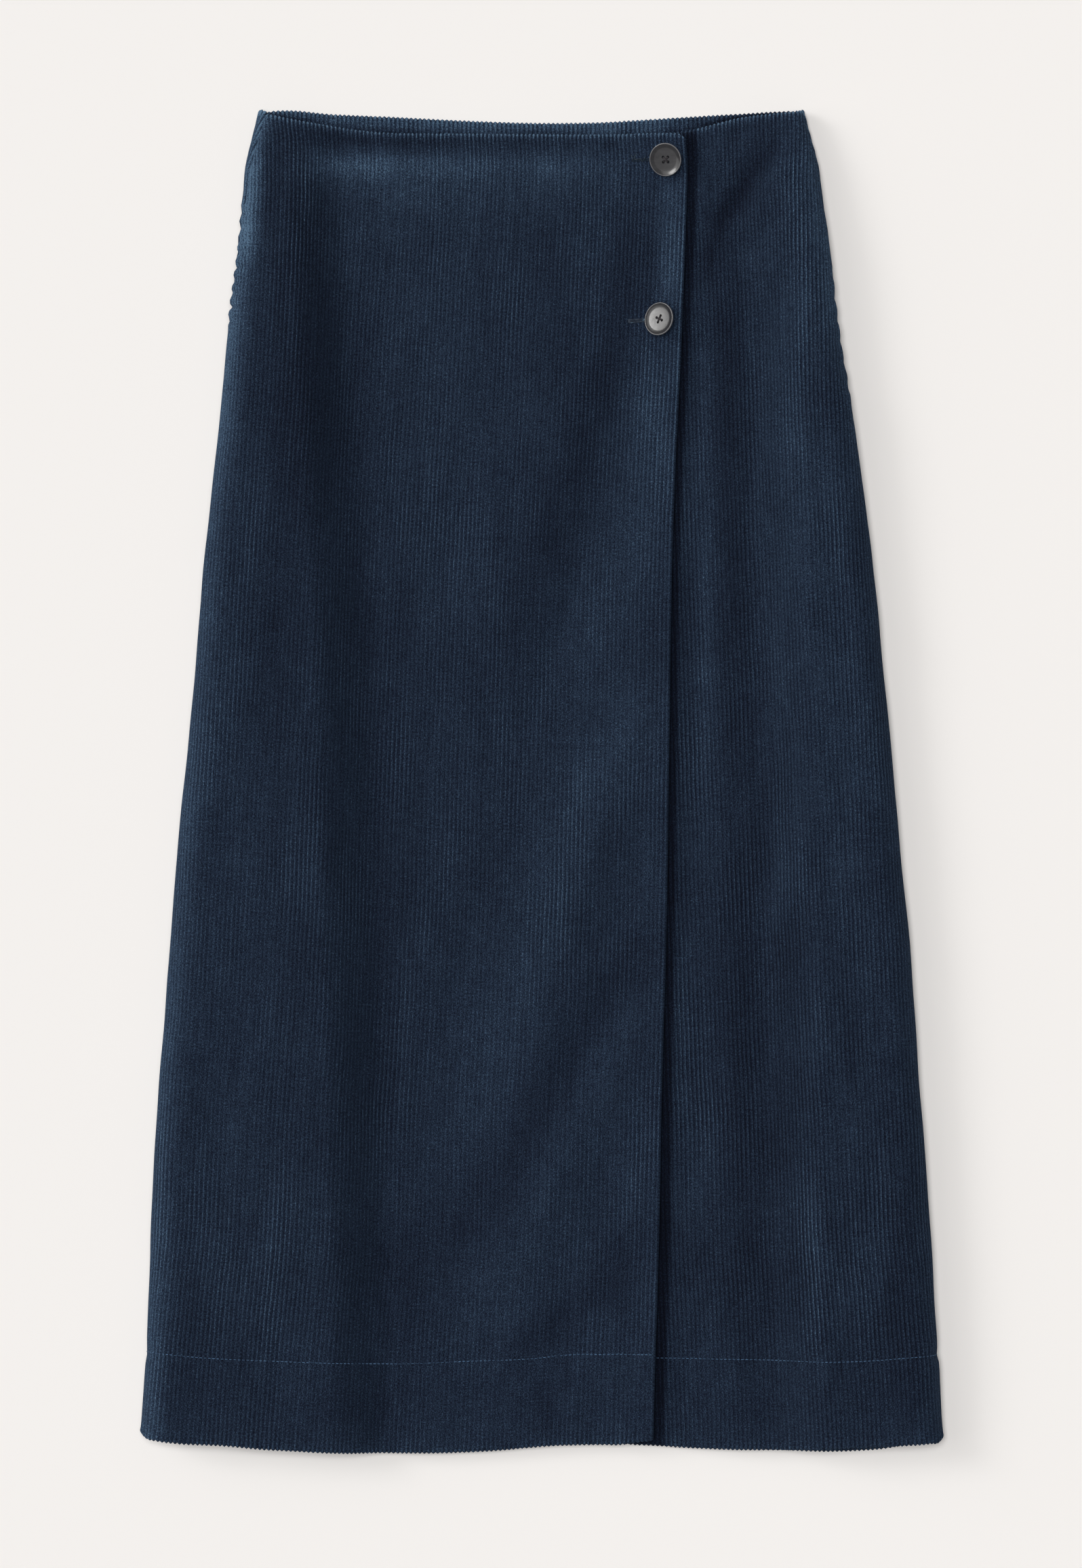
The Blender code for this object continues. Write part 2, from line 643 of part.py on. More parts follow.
def make_button(button, material):
    mesh = bpy.data.meshes.new(button.name)
    points = [(point.radius * MM, 0.0, point.height * MM) for point in BUTTON_PROFILE]
    mesh.from_pydata(points, [(i, i + 1) for i in range(len(points) - 1)], [])
    mesh.materials.append(material)
    piece = bpy.data.objects.new(button.name, mesh)
    bpy.data.collections[COLLECTION].objects.link(piece)
    screw = piece.modifiers.new("turn", "SCREW")
    screw.angle = math.tau
    screw.steps = screw.render_steps = BUTTON_STEPS
    screw.use_merge_vertices = True
    screw.merge_threshold = 1e-5
    screw.use_smooth_shade = True

    holes = bmesh.new()
    for sx in (-0.5, 0.5):
        for sy in (-0.5, 0.5):
            place = Vector((sx * BUTTON_HOLE_SPACING, sy * BUTTON_HOLE_SPACING, 1.0)) * MM
            bmesh.ops.create_cone(holes, cap_ends=True, segments=6, radius1=BUTTON_HOLE_RADIUS * MM,
                                  radius2=BUTTON_HOLE_RADIUS * MM, depth=6.0 * MM,
                                  matrix=Matrix.Translation(place))
    cutter_mesh = bpy.data.meshes.new(button.name + "_holes")
    holes.to_mesh(cutter_mesh)
    holes.free()
    cutter = bpy.data.objects.new(button.name + "_holes", cutter_mesh)
    bpy.data.collections["cutters"].objects.link(cutter)
    cutter.parent = piece
    cutter.hide_render = True
    cutter.display_type = "WIRE"
    drill = piece.modifiers.new("holes", "BOOLEAN")
    drill.operation = "DIFFERENCE"
    drill.object = cutter
    piece.matrix_world = Matrix.Translation(button_place(button)) @ button_tilt(button)
    return piece


def make_material(name, colour, roughness):
    material = bpy.data.materials.new(name)
    material.use_nodes = True
    shader = material.node_tree.nodes["Principled BSDF"]
    shader.inputs["Base Color"].default_value = (*colour, 1.0)
    shader.inputs["Roughness"].default_value = roughness
    shader.inputs["Metallic"].default_value = 0.0
    return material


def main():
    for thing in list(bpy.data.objects):
        bpy.data.objects.remove(thing)
    for name in (COLLECTION, "cutters"):
        group = bpy.data.collections.new(name)
        bpy.context.scene.collection.children.link(group)
    outside = make_material("navy_corduroy", (0.012, 0.020, 0.034), 0.95)
    facing = make_material("navy_corduroy_facing", (0.010, 0.017, 0.029), 0.95)
    horn = make_material("charcoal_button", (0.045, 0.045, 0.050), 0.35)
    back_panel(outside)
    back_facing(facing)
    under_wrap(outside)
    over_wrap(outside)
    for button in BUTTONS:
        make_button(button, horn)


main()
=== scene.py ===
"""Looks of a navy corduroy wrap skirt that lies flat with its front up.

The cloth of each panel is a closed mesh on the same sections as its solid.  Sizes are in
millimetres in the solid's frame (+X right over the front, +Y towards the waist, +Z up), and points
turn into metres when a mesh is made.  Every cloth point keeps its place in the weave: which wale it
is on, how far along the wale, and how worn the pile is there, which also sets a painted highlight
on the wale tips.
"""
import math
from collections import namedtuple

import bmesh
import bpy
import numpy as np
from mathutils import Matrix, Vector
from mathutils.bvhtree import BVHTree


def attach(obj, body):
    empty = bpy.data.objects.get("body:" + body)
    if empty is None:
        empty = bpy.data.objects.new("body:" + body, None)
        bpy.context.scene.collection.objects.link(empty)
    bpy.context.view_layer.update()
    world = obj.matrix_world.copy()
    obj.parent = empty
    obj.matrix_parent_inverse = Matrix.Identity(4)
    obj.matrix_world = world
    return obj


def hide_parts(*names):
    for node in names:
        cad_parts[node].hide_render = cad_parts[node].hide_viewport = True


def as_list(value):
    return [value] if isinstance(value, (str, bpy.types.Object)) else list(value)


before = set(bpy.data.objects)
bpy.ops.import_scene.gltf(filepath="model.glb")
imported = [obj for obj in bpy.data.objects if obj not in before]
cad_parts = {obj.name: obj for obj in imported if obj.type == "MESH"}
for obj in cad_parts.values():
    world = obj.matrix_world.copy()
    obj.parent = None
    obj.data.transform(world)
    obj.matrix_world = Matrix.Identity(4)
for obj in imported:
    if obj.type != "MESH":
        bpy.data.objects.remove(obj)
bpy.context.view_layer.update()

MM = 0.001
BODY = "root"
STROKE = "x0 y0 x1 y1 width height"  # a soft line from one place to another
STROKE_BEYOND = 0.12  # share of its length that it reaches past its ends
STROKE_FADE = 0.25  # and from where inside them it fades


def table(columns, *rows):
    """Rows of numbers that are read by the names of their columns."""
    kind = namedtuple("Line", columns)
    return [kind(*row) for row in rows]


def add_object(name, data):
    """An object in the scene."""
    piece = bpy.data.objects.new(name, data)
    bpy.context.scene.collection.objects.link(piece)
    return piece


# Cloth, as in the solids
WALE_PITCH = 2.82
WALE_HEIGHT = 0.7
CLOTH = 1.2
DOUBLED = 2.4
SEAM_GAP = 0.4
LAYER_GAP = 0.4
LENGTH = 832.0
HEM_DEPTH = 54.0
WAIST_DEPTH = 50.0
EDGE_DEPTH = 50.0
RAMP = 6.0
EDGE_LIFT = 4.6
EDGE_LIFT_REACH = 46.0
UNDER_DROP = 3.4
UNDER_DROP_END = (128.0, 88.0)
FALL_HALF = 20.0
FACING_SIDE_HEIGHT = 0.06
LOW_SHARE = 0.4
UNDER_EDGE_WAIST = -80.0
UNDER_EDGE_HEM = -72.0
HIDDEN_SHORT = 1.5
PITCH_WAIST_OVER = 0.91
PITCH_WAIST_UNDER = 0.90
UNDER_WALES_FROM = 48.0
UNDER_WALES_RISE = 14.0  # distance over which its wales rise there
CORNER_ROUND = 3.2  # how much the over-wrap's corners are rounded off
CORNER_WAIST = (92.0, 10.0)  # the corner's end and reach at the waist
CORNER_HEM = (45.0, 70.0)  # where it begins and ends at the hem
OVER_WAIST_TOP = 410.6  # the over-wrap's waist is no higher than this
OVER_WAIST_RISE = 20.0  # but for this much more at the left
OVER_WAIST_RISE_AT = (-60.0, -110.0)
HIDDEN_WAIST = (82.0, 62.0)  # where the under-wrap is hidden and shorter
HIDDEN_HEM = (62.0, 42.0)
ROLL_POINTS, FRONT_POINTS, FLOOR_POINTS = 40, 400, 300
FRONT_GUESS, BACK_GUESS, EDGE_GUESS = 260.0, 220.0, 85.0  # where the search for a row's ends begins

# Fine form of the cloth
QUARTERS = 4  # points across one wale
PROFILE = np.array([0.0, 0.74, 1.0, 0.74])  # height of those points, from one valley to the next
FOLDED_PROFILE = np.array([0.0, 0.45, 1.0, 0.45])  # the same of what a fold adds
ROW_STEP = 4.9  # distance between rows of points
END_STEPS = (0.0, 1.0, 2.4)  # the rows nearest to the waist and the hem
END_GAP = 1.8  # where the next row lies, as a multiple of the last of these
FREE_ANGLES = (90.0, 62.0, 32.0)  # points round the free edge
FOLD_ANGLES = (24.0, 48.0, 70.0, 90.0, 106.0)  # rows round a folded edge; the last is behind the wales
INNER_FOLD_ANGLES = (35.0, 65.0)  # and inside
INNER_COUNTS = {"over": (18, 8, 4, 9), "under": (20, 8, 4, 9), "back": (9, 14, 9), "facing": (2, 30, 2)}
PRESSED = 0.74  # share of the wales' height where the cloth lies flat
FOLDED_WAIST = 1.70  # where it's folded over at the waist, which spreads the pile
FOLDED_HEM = 1.95  # at the hem
FOLDED_FACING = 1.80  # and at the edges of the facing
FOLDED_REACH = (9.0, 4.0)  # how far what a fold adds runs on from the waist and the hem
HEM_CALM = 0.30  # how much flatter the wales of the doubled hem lie
HEM_CALM_RAMP = 8.0
UNEVEN = 0.05  # how much the wales' heights differ from each other
BARE_LEFT = (-171.0, -175.0)  # past these the back's waist has no facing in front of it
BARE_RIGHT = (158.0, 162.0)
FOLD_INSET = 0.2  # the wales of a folded edge stand this far out of its middle
WAIST_RUBBED_HIGHLIGHT = ((0.0, 24.0, 48.0, 90.0), (0.0, 0.60, 0.95, 1.0))  # rubbed pile and painted highlight on the wale tips round the waist's fold
SEAM_MARGIN = 0.35  # no wale point lies nearer to a seam
SEAM_DEPTH = 0.8  # groove along a seam
SEAM_REACH = 2.4
SEAM_CALM = 9.0  # the relief is less this near to a seam
SEAM_SLOPE = 1.6  # and the wales rise over this distance
SWAY_FROM = (2.0, 8.0)  # away from a seam the wales sway a little
EDGE_MARGIN = 0.15  # the first wale point is this far behind the free edge's fold
VALLEY_LIFT = 1.25  # how far the floor lifts the valleys, in wale heights
# Rubbed pile at folds, edges and seams, which also sets a painted highlight on the wale tips there
WEAR_HIGHLIGHT_WAIST = 1.6  # reach of the wear and its painted highlight below the waist
WEAR_HIGHLIGHT_HEM = (0.25, 2.2)  # amount and reach of it at the hem
WEAR_HIGHLIGHT_SIDE = (0.35, 2.0)
WEAR_HIGHLIGHT_FREE = (0.12, 0.45, 2.2)  # at the free edge, and more of it near the waist
WEAR_HIGHLIGHT_FREE_TO = (0.40, 0.15)
STITCH_DEPTH = 0.7  # groove that the hem stitching pulls in
STITCH_REACH = 1.7
STITCH_TIGHT = 0.35  # share by which its depth varies
PUCKER = (0.22, 5.0, 6.0)  # height, distance above the stitching and reach of the puckers
HEM_LINE = -362.0  # height of the stitching at the sides
HEM_DRAWN_IN = (0.30, 6.0)  # depth and reach of the notch that it makes in a side
HEM_STANDS_OUT = (0.55, 3.0, -9.0)  # and what stands out below it
HEM_SIDE_REACH = 9.0
EDGE_RIDGE = (0.45, 1.6)  # height and width of the ridge over the free edge's turning
EDGE_RIDGE_FROM = (-40.0, -90.0)
BACK_FINE_REACH = 26.0  # the back has all its points this near to a seam

SECTIONS = table("y left right roll crest mid fall_left fall_right seam_left seam_right",
    (426, -178.6, 165.2, 7, 15, 11.9, -143, 140, 62, 20),
    (410, -183, 169.6, 9, 18.5, 11.9, -143, 141, 54, 16),
    (392.6, -187.3, 174.4, 11, 21.5, 11.7, -143, 143, 44, 12),
    (366.8, -189.4, 178.2, 13, 24.5, 11, -143, 145, 24, 8),
    (341, -191.6, 182.1, 14.5, 26.5, 9.8, -142, 147, 6, 5),
    (298, -197.2, 186.4, 16, 28, 8.6, -139, 149, -4, 2),
    (212, -205.8, 199.7, 17, 29, 7.8, -134, 151, -16, -4),
    (126, -214.8, 210.5, 17.5, 29, 7.6, -129, 153, -27, -16),
    (40, -222.5, 219.1, 18, 29, 7.6, -126, 155, -36, -28),
    (-46, -230.7, 227.3, 18, 29, 7.6, -123, 157, -42, -36),
    (-132, -237.6, 234.6, 18, 29, 7.6, -120.5, 158.5, -46, -42),
    (-218, -244, 240.6, 18, 29, 7.8, -118, 160, -49, -46),
    (-304, -248.3, 247.5, 18, 28.5, 8.8, -116.5, 161.5, -51, -49),
    (-347, -249.8, 249.4, 17.5, 28, 10.2, -116, 162, -52, -50),
    (-390, -251.8, 252.2, 16.5, 26.5, 10.6, -116, 162, -52, -51),
    (-428, -253.5, 253.6, 15, 25, 10.6, -116, 162, -52, -52),
)

FOLDS = table(STROKE,
    (-176, 400, 10, 400.5, 6.5, -1.5), (106, 392, 95, 355, 6, 1.3), (148, 408, 111, 348, 9, -1.6),
    (-141.7, 412, -137, 355, 5, -1.2), (15, 285, -45, 35, 27, 4), (58, 262, 4, 15, 19, -1.6),
    (72, 70, 6, -95, 25, 4), (10, -40, -20, -360, 24, 3.4), (70, -98, -28, -250, 15, -1.8),
    (68, -160, -50, -345, 18, 2.6), (62, -275, 2, -372, 17, -1.6), (108, 350, 118, -330, 12, 2.2),
)

EDGES = table("x front_waist back_waist front_hem back_hem",
    (-254.5, 424, 424.6, -411, -411), (-250.5, 424, 424.6, -415.2, -414.8),
    (-244, 424, 424.6, -417, -416.2), (-234, 424, 424.6, -418.3, -417.2),
    (-200, 424, 424.6, -420.1, -418.6), (-176, 423, 424.9, -422.4, -419.4),
    (-163, 420.3, 425.6, -423.2, -419.8), (-133, 415, 423.1, -424.8, -421),
    (-103, 411.2, 421.8, -425.4, -421.8), (-64, 410.5, 419.8, -425.6, -422),
    (-28, 410.2, 418.2, -424, -421.5), (7, 410, 417.5, -421, -419), (41, 409.8, 418.2, -420.4, -418),
    (70, 410.9, 420, -421, -418.4), (92, 412.4, 421.4, -422.4, -419.6),
    (110, 416.8, 422.5, -423.2, -421), (127, 420.8, 423.5, -423.6, -422.6),
    (150, 423.2, 424.8, -423.5, -423.6), (166, 425, 425.4, -423, -424.6),
    (200, 425, 425.4, -421.2, -424.4), (218, 425, 425.4, -420.4, -423),
    (232, 425, 425.4, -419.8, -420.4), (246, 425, 425.4, -418.8, -418.4),
    (252, 425, 425.4, -417.6, -417), (255, 425, 425.4, -413.5, -413.5),
)

FREE_EDGE = table("y x",
    (410, 90.5), (394, 91.8), (366, 91.4), (319, 89.8), (263, 87.5), (195, 84.2), (126, 82), (23, 80.6),
    (-80, 79), (-184, 76.2), (-287, 74), (-390, 71), (-420, 70.3),
)

# Small creases on top of the folds
CREASES = table(STROKE,
    (-150, 402, -40, 396, 3, 0.5), (-95, 372, -60, 300, 5, -0.5), (20, 380, 40, 320, 5, -0.5),
    (62, 384, 30, 350, 4, 0.6), (66, 286, 34, 236, 4, 0.6), (84, 286, 78, 235, 3, -0.5),
    (-40, 230, -75, 90, 9, -0.9), (-70, 130, -95, -60, 8, 0.7), (30, 150, -10, 30, 7, -0.9),
    (-30, -40, -62, -170, 8, -0.9), (-80, -120, -92, -320, 8, 0.8), (40, -190, -10, -280, 6, 0.7),
    (-100, -300, -96, -412, 6, -0.6), (-160, 250, -172, 20, 9, -0.8), (-190, -60, -205, -300, 10, -0.8),
    (-150, -150, -160, -390, 8, 0.6), (140, 300, 128, 120, 6, -0.9), (150, 60, 136, -180, 6, -0.8),
    (182, 180, 196, -60, 8, -0.7), (205, -120, 212, -380, 9, -0.8), (176, -220, 180, -410, 6, 0.5),
    (68, 383.5, 89, 380.5, 1.5, 0.45), (71, 379, 89, 377.5, 1.4, -0.45), (74, 375, 89, 372, 1.6, 0.35),
    (66, 279, 86, 275.5, 1.6, 0.4), (68, 283, 86, 280, 1.4, -0.4), (-188, 352, -172, 330, 3, -0.6),
    (-160, 372, -152, 330, 4, 0.7), (109, 398, 99, 350, 6, 1), (146, 404, 112, 350, 5, -1.3),
    (160, 400, 124, 344, 8, 1.5), (-172, 405, -40, 399, 3.2, -0.7), (-168, 397, -60, 392, 5, 0.9),
)

# Painted light and shade along the folds, lighter where they face the light and darker where they turn away,
# with some paler rubbed pile; darker where the tone is negative
NAP_AND_PAINTED_SHADING = table(STROKE,
    (-150, 400, -149, 170, 19, -1.2), (-156, 240, -172, 30, 13, -0.55), (-137, 310, -118, 60, 19, -0.65),
    (-116, 120, -110, -300, 27, -0.7), (-109, -270, -112, -425, 25, -0.5), (-80, 380, -60, 190, 34, 0.45),
    (-152, 392, 60, 391, 8, 1.3), (-152, 391, -95, 388, 9, 1.1), (-128, 400, -122, 330, 12, 0.5),
    (-180, 404, -188, 330, 6, 1.8), (-170, 411, -50, 403, 5.5, -0.7), (-120, 381, 20, 374, 18, 1),
    (-95, 374, -62, 356, 6, 0.5), (-10, 385, 62, 380, 14, 0.5), (66, 355, 34, 240, 15, -0.7),
    (40, 265, 0, 130, 17, -0.7), (2, 160, -40, 40, 19, -0.45), (83, 385, 80, 300, 9, 1.4),
    (79, 290, 60, 130, 17, 0.9), (58, 170, 16, 50, 22, 0.45), (72, 65, 26, -14, 16, 0.6),
    (34, 15, 6, -85, 20, 0.45), (12, -55, -52, -225, 20, 0.5), (73, -92, 18, -172, 14, -0.8),
    (26, -158, -50, -290, 16, -0.75), (-38, -268, -90, -352, 20, -0.5), (68, -128, 28, -200, 13, 0.3),
    (38, -186, -8, -284, 15, 0.3), (2, -255, -30, -352, 13, 0.3), (62, -225, 42, -290, 12, 0.4),
    (68, -272, 38, -334, 12, -0.8), (46, -318, -22, -366, 11, -0.8), (-2, -376, 6, -414, 6, -0.6),
    (-130, -376, -100, -414, 12, -0.3), (150, 408, 110, 350, 7, -1.8), (113, 365, 103, 315, 6, -1.1),
    (116, 340, 122, 90, 11, -0.75), (121, 130, 128, -160, 12, -0.6), (125, -60, 140, -410, 24, -0.65),
    (103, 305, 104, -50, 5, 0.5), (160, 350, 188, -60, 20, 0.65), (168, -40, 177, -310, 15, 0.1),
    (151, 60, 158, -400, 13, -0.55), (166, 410, 186, 270, 12, 0.9), (225, -240, 240, -410, 14, -0.6),
    (-300, -392, 300, -392, 24, -0.22),
)

# Where the wales stand out more, with stronger painted highlights on their crests and painted shade in their
# valleys, or less where it is negative
LOFT = table(STROKE,
    (-8, 330, 0, -60, 62, -0.25), (-20, -90, -30, -420, 70, -0.45), (-195, 30, -205, -300, 30, -0.35),
    (-168, 415, -185, 310, 26, 0.55), (-245, -350, -180, -424, 34, 0.65), (245, -330, 190, -424, 34, 0.5),
    (170, 400, 205, 120, 22, 0.3), (-238, 0, -250, -330, 9, 0.4), (74, 385, 82, -80, 12, 0.1),
    (150, -60, 165, -350, 42, 0.28), (0, 380, -60, 130, 70, 0.12),
)
LOFT_RANGE = (0.35, 1.60)
RIM_LEFT = (12.0, 1.6)  # reach and tone of the painted light along the left side, which rounds towards the light
RIM_LEFT_HIP = (9.0, 1.2)  # more of it at the hip
RIM_LEFT_HIP_FROM = (150.0, 260.0)
# reach and tone of the painted light along the right side near the waist
RIM_RIGHT = (8.0, 1.0)
RIM_RIGHT_FROM = (100.0, 260.0)
RIM_BACK = (2.8, 0.8)  # tones of the same painted light on the back's strip at the left and the right
RIM_BACK_FROM = (270.0, 320.0)
RIM_BACK_HEIGHT = (2.0, 8.0)  # and it shows from this height up
RIM_BACK_LOFT = 0.6
FACING_SHADE = (1.5, -3.0)  # reach and tone of the painted shadow on the facing beside the front's edge

# Painted shadow on the under-wrap beside the over-wrap's free edge, which stands above it
UNDERLAP_SHADOW = table("y reach tone",
    (410, 7.4, -3), (340, 6, -3), (250, 5.2, -3), (0, 5.2, -3), (-110, 5.4, -3), (-200, 6.6, -3.2),
    (-330, 7.6, -3.2), (-424, 6.6, -2.8),
)

# Painted light and shade on the facing, from left to right
FACING_TONES = table("x tone",
    (-175, 0.2), (-125, 0.3), (-105, 0.5), (40, 0.7), (76, 0.6), (92, -0.9), (150, -1.1), (160, 0.6),
)


# Sections, as in the solids --------------------------------------------------------------------

def column(rows, key, at, along="y"):
    """The named column of a table, read smoothly at the given places."""
    place = np.array([getattr(row, along) for row in rows])
    value = np.array([getattr(row, key) for row in rows])
    order = np.argsort(place)
    place, value = place[order], value[order]
    slope = np.gradient(value, place)
    at = np.clip(np.asarray(at, dtype=float), place[0], place[-1])
    left = np.clip(np.searchsorted(place, at) - 1, 0, len(place) - 2)
    span = place[left + 1] - place[left]
    t = (at - place[left]) / span
    h00 = (1 + 2 * t) * (1 - t) ** 2
    h10 = t * (1 - t) ** 2
    h01 = t * t * (3 - 2 * t)
    h11 = t * t * (t - 1)
    return (h00 * value[left] + h10 * span * slope[left]
            + h01 * value[left + 1] + h11 * span * slope[left + 1])


def smooth(low, high, value):
    """0 below low, 1 above high, and a smooth step between."""
    t = np.clip((value - low) / (high - low), 0.0, 1.0)
    return t * t * (3 - 2 * t)


def fold_height(x, y, folds=FOLDS):
    """Height of the strokes of a table, each fading out at its ends."""
    total = np.zeros_like(x)
    for fold in folds:
        dx, dy = fold.x1 - fold.x0, fold.y1 - fold.y0
        size = math.hypot(dx, dy)
        along = ((x - fold.x0) * dx + (y - fold.y0) * dy) / size
        across = ((x - fold.x0) * dy - (y - fold.y0) * dx) / size
        ends = (smooth(-STROKE_BEYOND * size, STROKE_FADE * size, along)
                * smooth((1 + STROKE_BEYOND) * size, (1 - STROKE_FADE) * size, along))
        total += fold.height * np.exp(-(across / fold.width) ** 2) * ends
    return total


def front_height(x, y):
    """The front as one surface, before the two wraps part."""
    crest, mid = column(SECTIONS, "crest", y), column(SECTIONS, "mid", y)
    fall_left, fall_right = column(SECTIONS, "fall_left", y), column(SECTIONS, "fall_right", y)
    sides = (smooth(fall_left + FALL_HALF, fall_left - FALL_HALF, x)
             + smooth(fall_right - FALL_HALF, fall_right + FALL_HALF, x))
    return mid + (crest - mid) * sides + fold_height(x, y)


def free_edge(y):
    return column(FREE_EDGE, "x", y)


def over_height(x, y):
    inside = np.clip((free_edge(y) - x) / EDGE_LIFT_REACH, 0.0, 1.0)
    return front_height(x, y) + EDGE_LIFT * (1 - inside) ** 2


def under_height(x, y):
    return front_height(x, y) - UNDER_DROP * smooth(*UNDER_DROP_END, x)


def row_y(share, x, waist, hem):
    return waist(x) * (1 - share) + hem(x) * share


def line_of(rows, key):
    """A column of a table as a line across the skirt."""
    return lambda x: column(rows, key, x, "x")


front_waist = line_of(EDGES, "front_waist")
front_hem = line_of(EDGES, "front_hem")
back_waist = line_of(EDGES, "back_waist")
back_hem = line_of(EDGES, "back_hem")


def over_waist(x):
    end, reach = CORNER_WAIST
    top = OVER_WAIST_TOP + smooth(*OVER_WAIST_RISE_AT, x) * OVER_WAIST_RISE
    return (np.minimum(front_waist(x), top)
            - CORNER_ROUND * np.clip((x - end + reach) / reach, 0.0, 1.0) ** 2)


def over_hem(x):
    return front_hem(x) + CORNER_ROUND * smooth(*CORNER_HEM, x)


def under_waist(x):
    return front_waist(x) - HIDDEN_SHORT * smooth(*HIDDEN_WAIST, x)


def under_hem(x):
    return front_hem(x) + HIDDEN_SHORT * smooth(*HIDDEN_HEM, x)


def hem_doubled(share):
    """1 where a panel is doubled at the hem."""
    return smooth(LENGTH - HEM_DEPTH - RAMP, LENGTH - HEM_DEPTH, share * LENGTH)


def thickness(doubled):
    return CLOTH + (DOUBLED - CLOTH) * doubled


def wall(share, from_edge):
    """Thickness of a front panel under its wales."""
    doubled = np.maximum(smooth(WAIST_DEPTH + RAMP, WAIST_DEPTH, share * LENGTH), hem_doubled(share))
    return thickness(np.maximum(doubled, smooth(EDGE_DEPTH + RAMP, EDGE_DEPTH, from_edge)))


class Row:
    """One row of a panel: its section, read by arc length along it."""

    def __init__(self, x, y, z, side, flat):
        self.x, self.y, self.z = x, y, z
        self.flat = flat
        self.arc = np.concatenate([[0.0], np.cumsum(np.hypot(np.diff(x), np.diff(z)))])
        tx, tz = np.gradient(x, self.arc), np.gradient(z, self.arc)
        size = np.hypot(tx, tz)
        self.nx, self.nz = -side * tz / size, side * tx / size
        self.length = self.arc[-1]

    def arc_at(self, x):
        first, last = self.flat
        sign = 1 if self.x[last] > self.x[first] else -1
        return float(np.interp(sign * x, sign * self.x[first:last + 1], self.arc[first:last + 1]))

    def read(self, arcs):
        """Points and unit normals at arc lengths."""
        x, y, z, nx, nz = (np.interp(arcs, self.arc, values)
                           for values in (self.x, self.y, self.z, self.nx, self.nz))
        size = np.hypot(nx, nz)
        return np.stack([x, y, z], 1), np.stack([nx / size, np.zeros_like(nx), nz / size], 1)


def side_key(side):
    return "left" if side < 0 else "right"


def side_roll(y, side, top, turn):
    """Round a side to its seam, from the front (turn 1) or from the floor (turn -1)."""
    roll = column(SECTIONS, "roll", y)
    centre = column(SECTIONS, side_key(side), y) - side * roll
    low = LOW_SHARE * column(SECTIONS, "crest", y)
    gap = math.degrees(SEAM_GAP / 2 / (LOW_SHARE * top))
    seam = float(column(SECTIONS, "seam_" + side_key(side), y))
    angle = np.radians(np.linspace(turn * 90.0, seam + turn * gap, ROLL_POINTS))
    z = np.where(angle > 0, low + (top - low) * np.sin(angle), low + low * np.sin(angle))
    return centre + side * roll * np.cos(angle), z


def roll_start(share, side, guess, waist, hem):
    """Where a row's roll round a side begins, x and y."""
    x = side * guess
    for _ in range(4):
        y = float(row_y(share, x, waist, hem))
        x = float(column(SECTIONS, side_key(side), y) - side * column(SECTIONS, "roll", y))
    return x, y


def front_row(share, side, height, waist, hem, start_x):
    """From a free edge across the front and round the side to its seam."""
    limit, y_side = roll_start(share, side, FRONT_GUESS, waist, hem)
    x = np.linspace(start_x, limit, FRONT_POINTS)
    y = row_y(share, x, waist, hem)
    z = height(x, y)
    roll_x, roll_z = side_roll(y_side, side, z[-1], 1)
    roll_y = row_y(share, roll_x, waist, hem)
    return Row(np.concatenate([x, roll_x[1:]]), np.concatenate([y, roll_y[1:]]),
               np.concatenate([z, roll_z[1:]]), side, (0, len(x) - 1))


def over_row(share):
    start = EDGE_GUESS
    for _ in range(4):
        start = float(free_edge(row_y(share, start, over_waist, over_hem)))
    return front_row(share, -1, over_height, over_waist, over_hem, start)


def under_row(share):
    start = UNDER_EDGE_WAIST + (UNDER_EDGE_HEM - UNDER_EDGE_WAIST) * share
    return front_row(share, 1, under_height, under_waist, under_hem, start)


def back_row(share, waist=back_waist, hem=back_hem):
    """From the left seam under the skirt to the right seam."""
    parts = []
    for side, height in ((-1, over_height), (1, under_height)):
        start, y_side = roll_start(share, side, BACK_GUESS, waist, hem)
        top = float(height(np.array([start]), np.array([y_side]))[0])
        parts.append((*side_roll(y_side, side, top, -1), start))
    (left_x, left_z, first), (right_x, right_z, last) = parts
    flat_x = np.linspace(first, last, FLOOR_POINTS)[1:-1]
    x = np.concatenate([left_x[::-1], flat_x, right_x])
    z = np.concatenate([left_z[::-1], np.zeros(len(flat_x)), right_z])
    return Row(x, row_y(share, x, waist, hem), z, -1, (len(left_x) - 1, len(x) - len(right_x)))


def facing_row(share):
    """The facing inside the back's waist, which ends where the back rises at the sides."""
    row = back_row(share, back_waist, lambda x: back_waist(x) - WAIST_DEPTH)
    inset = CLOTH + SEAM_GAP + CLOTH
    x, z = row.x - row.nx * inset, row.z - row.nz * inset
    first, last = np.flatnonzero(row.z < FACING_SIDE_HEIGHT * row.z.max())[[0, -1]]
    flat = (row.flat[0] - first, row.flat[1] - first)
    return Row(x[first:last + 1], row.y[first:last + 1], z[first:last + 1], 1, flat)


# Fine relief -----------------------------------------------------------------------------------

UNDULATION = table("across along phase height",
    (61, 233, 0.4, 0.26), (-43, 151, 2.1, 0.2), (27, 97, 4.4, 0.13), (-88, 71, 1.2, 0.16),
    (19, -64, 5.2, 0.08), (140, -52, 3.3, 0.1),
)
WALE_SWAY = table("across along phase height",
    (93, 61, 0.7, 0.1), (-37, 140, 2.9, 0.08), (17, 29, 4.1, 0.05),
)
PILE_WEAR = table("across along phase height",
    (47, 180, 1.9, 0.08), (-29, 77, 0.3, 0.06), (13, 61, 3.7, 0.04),
)


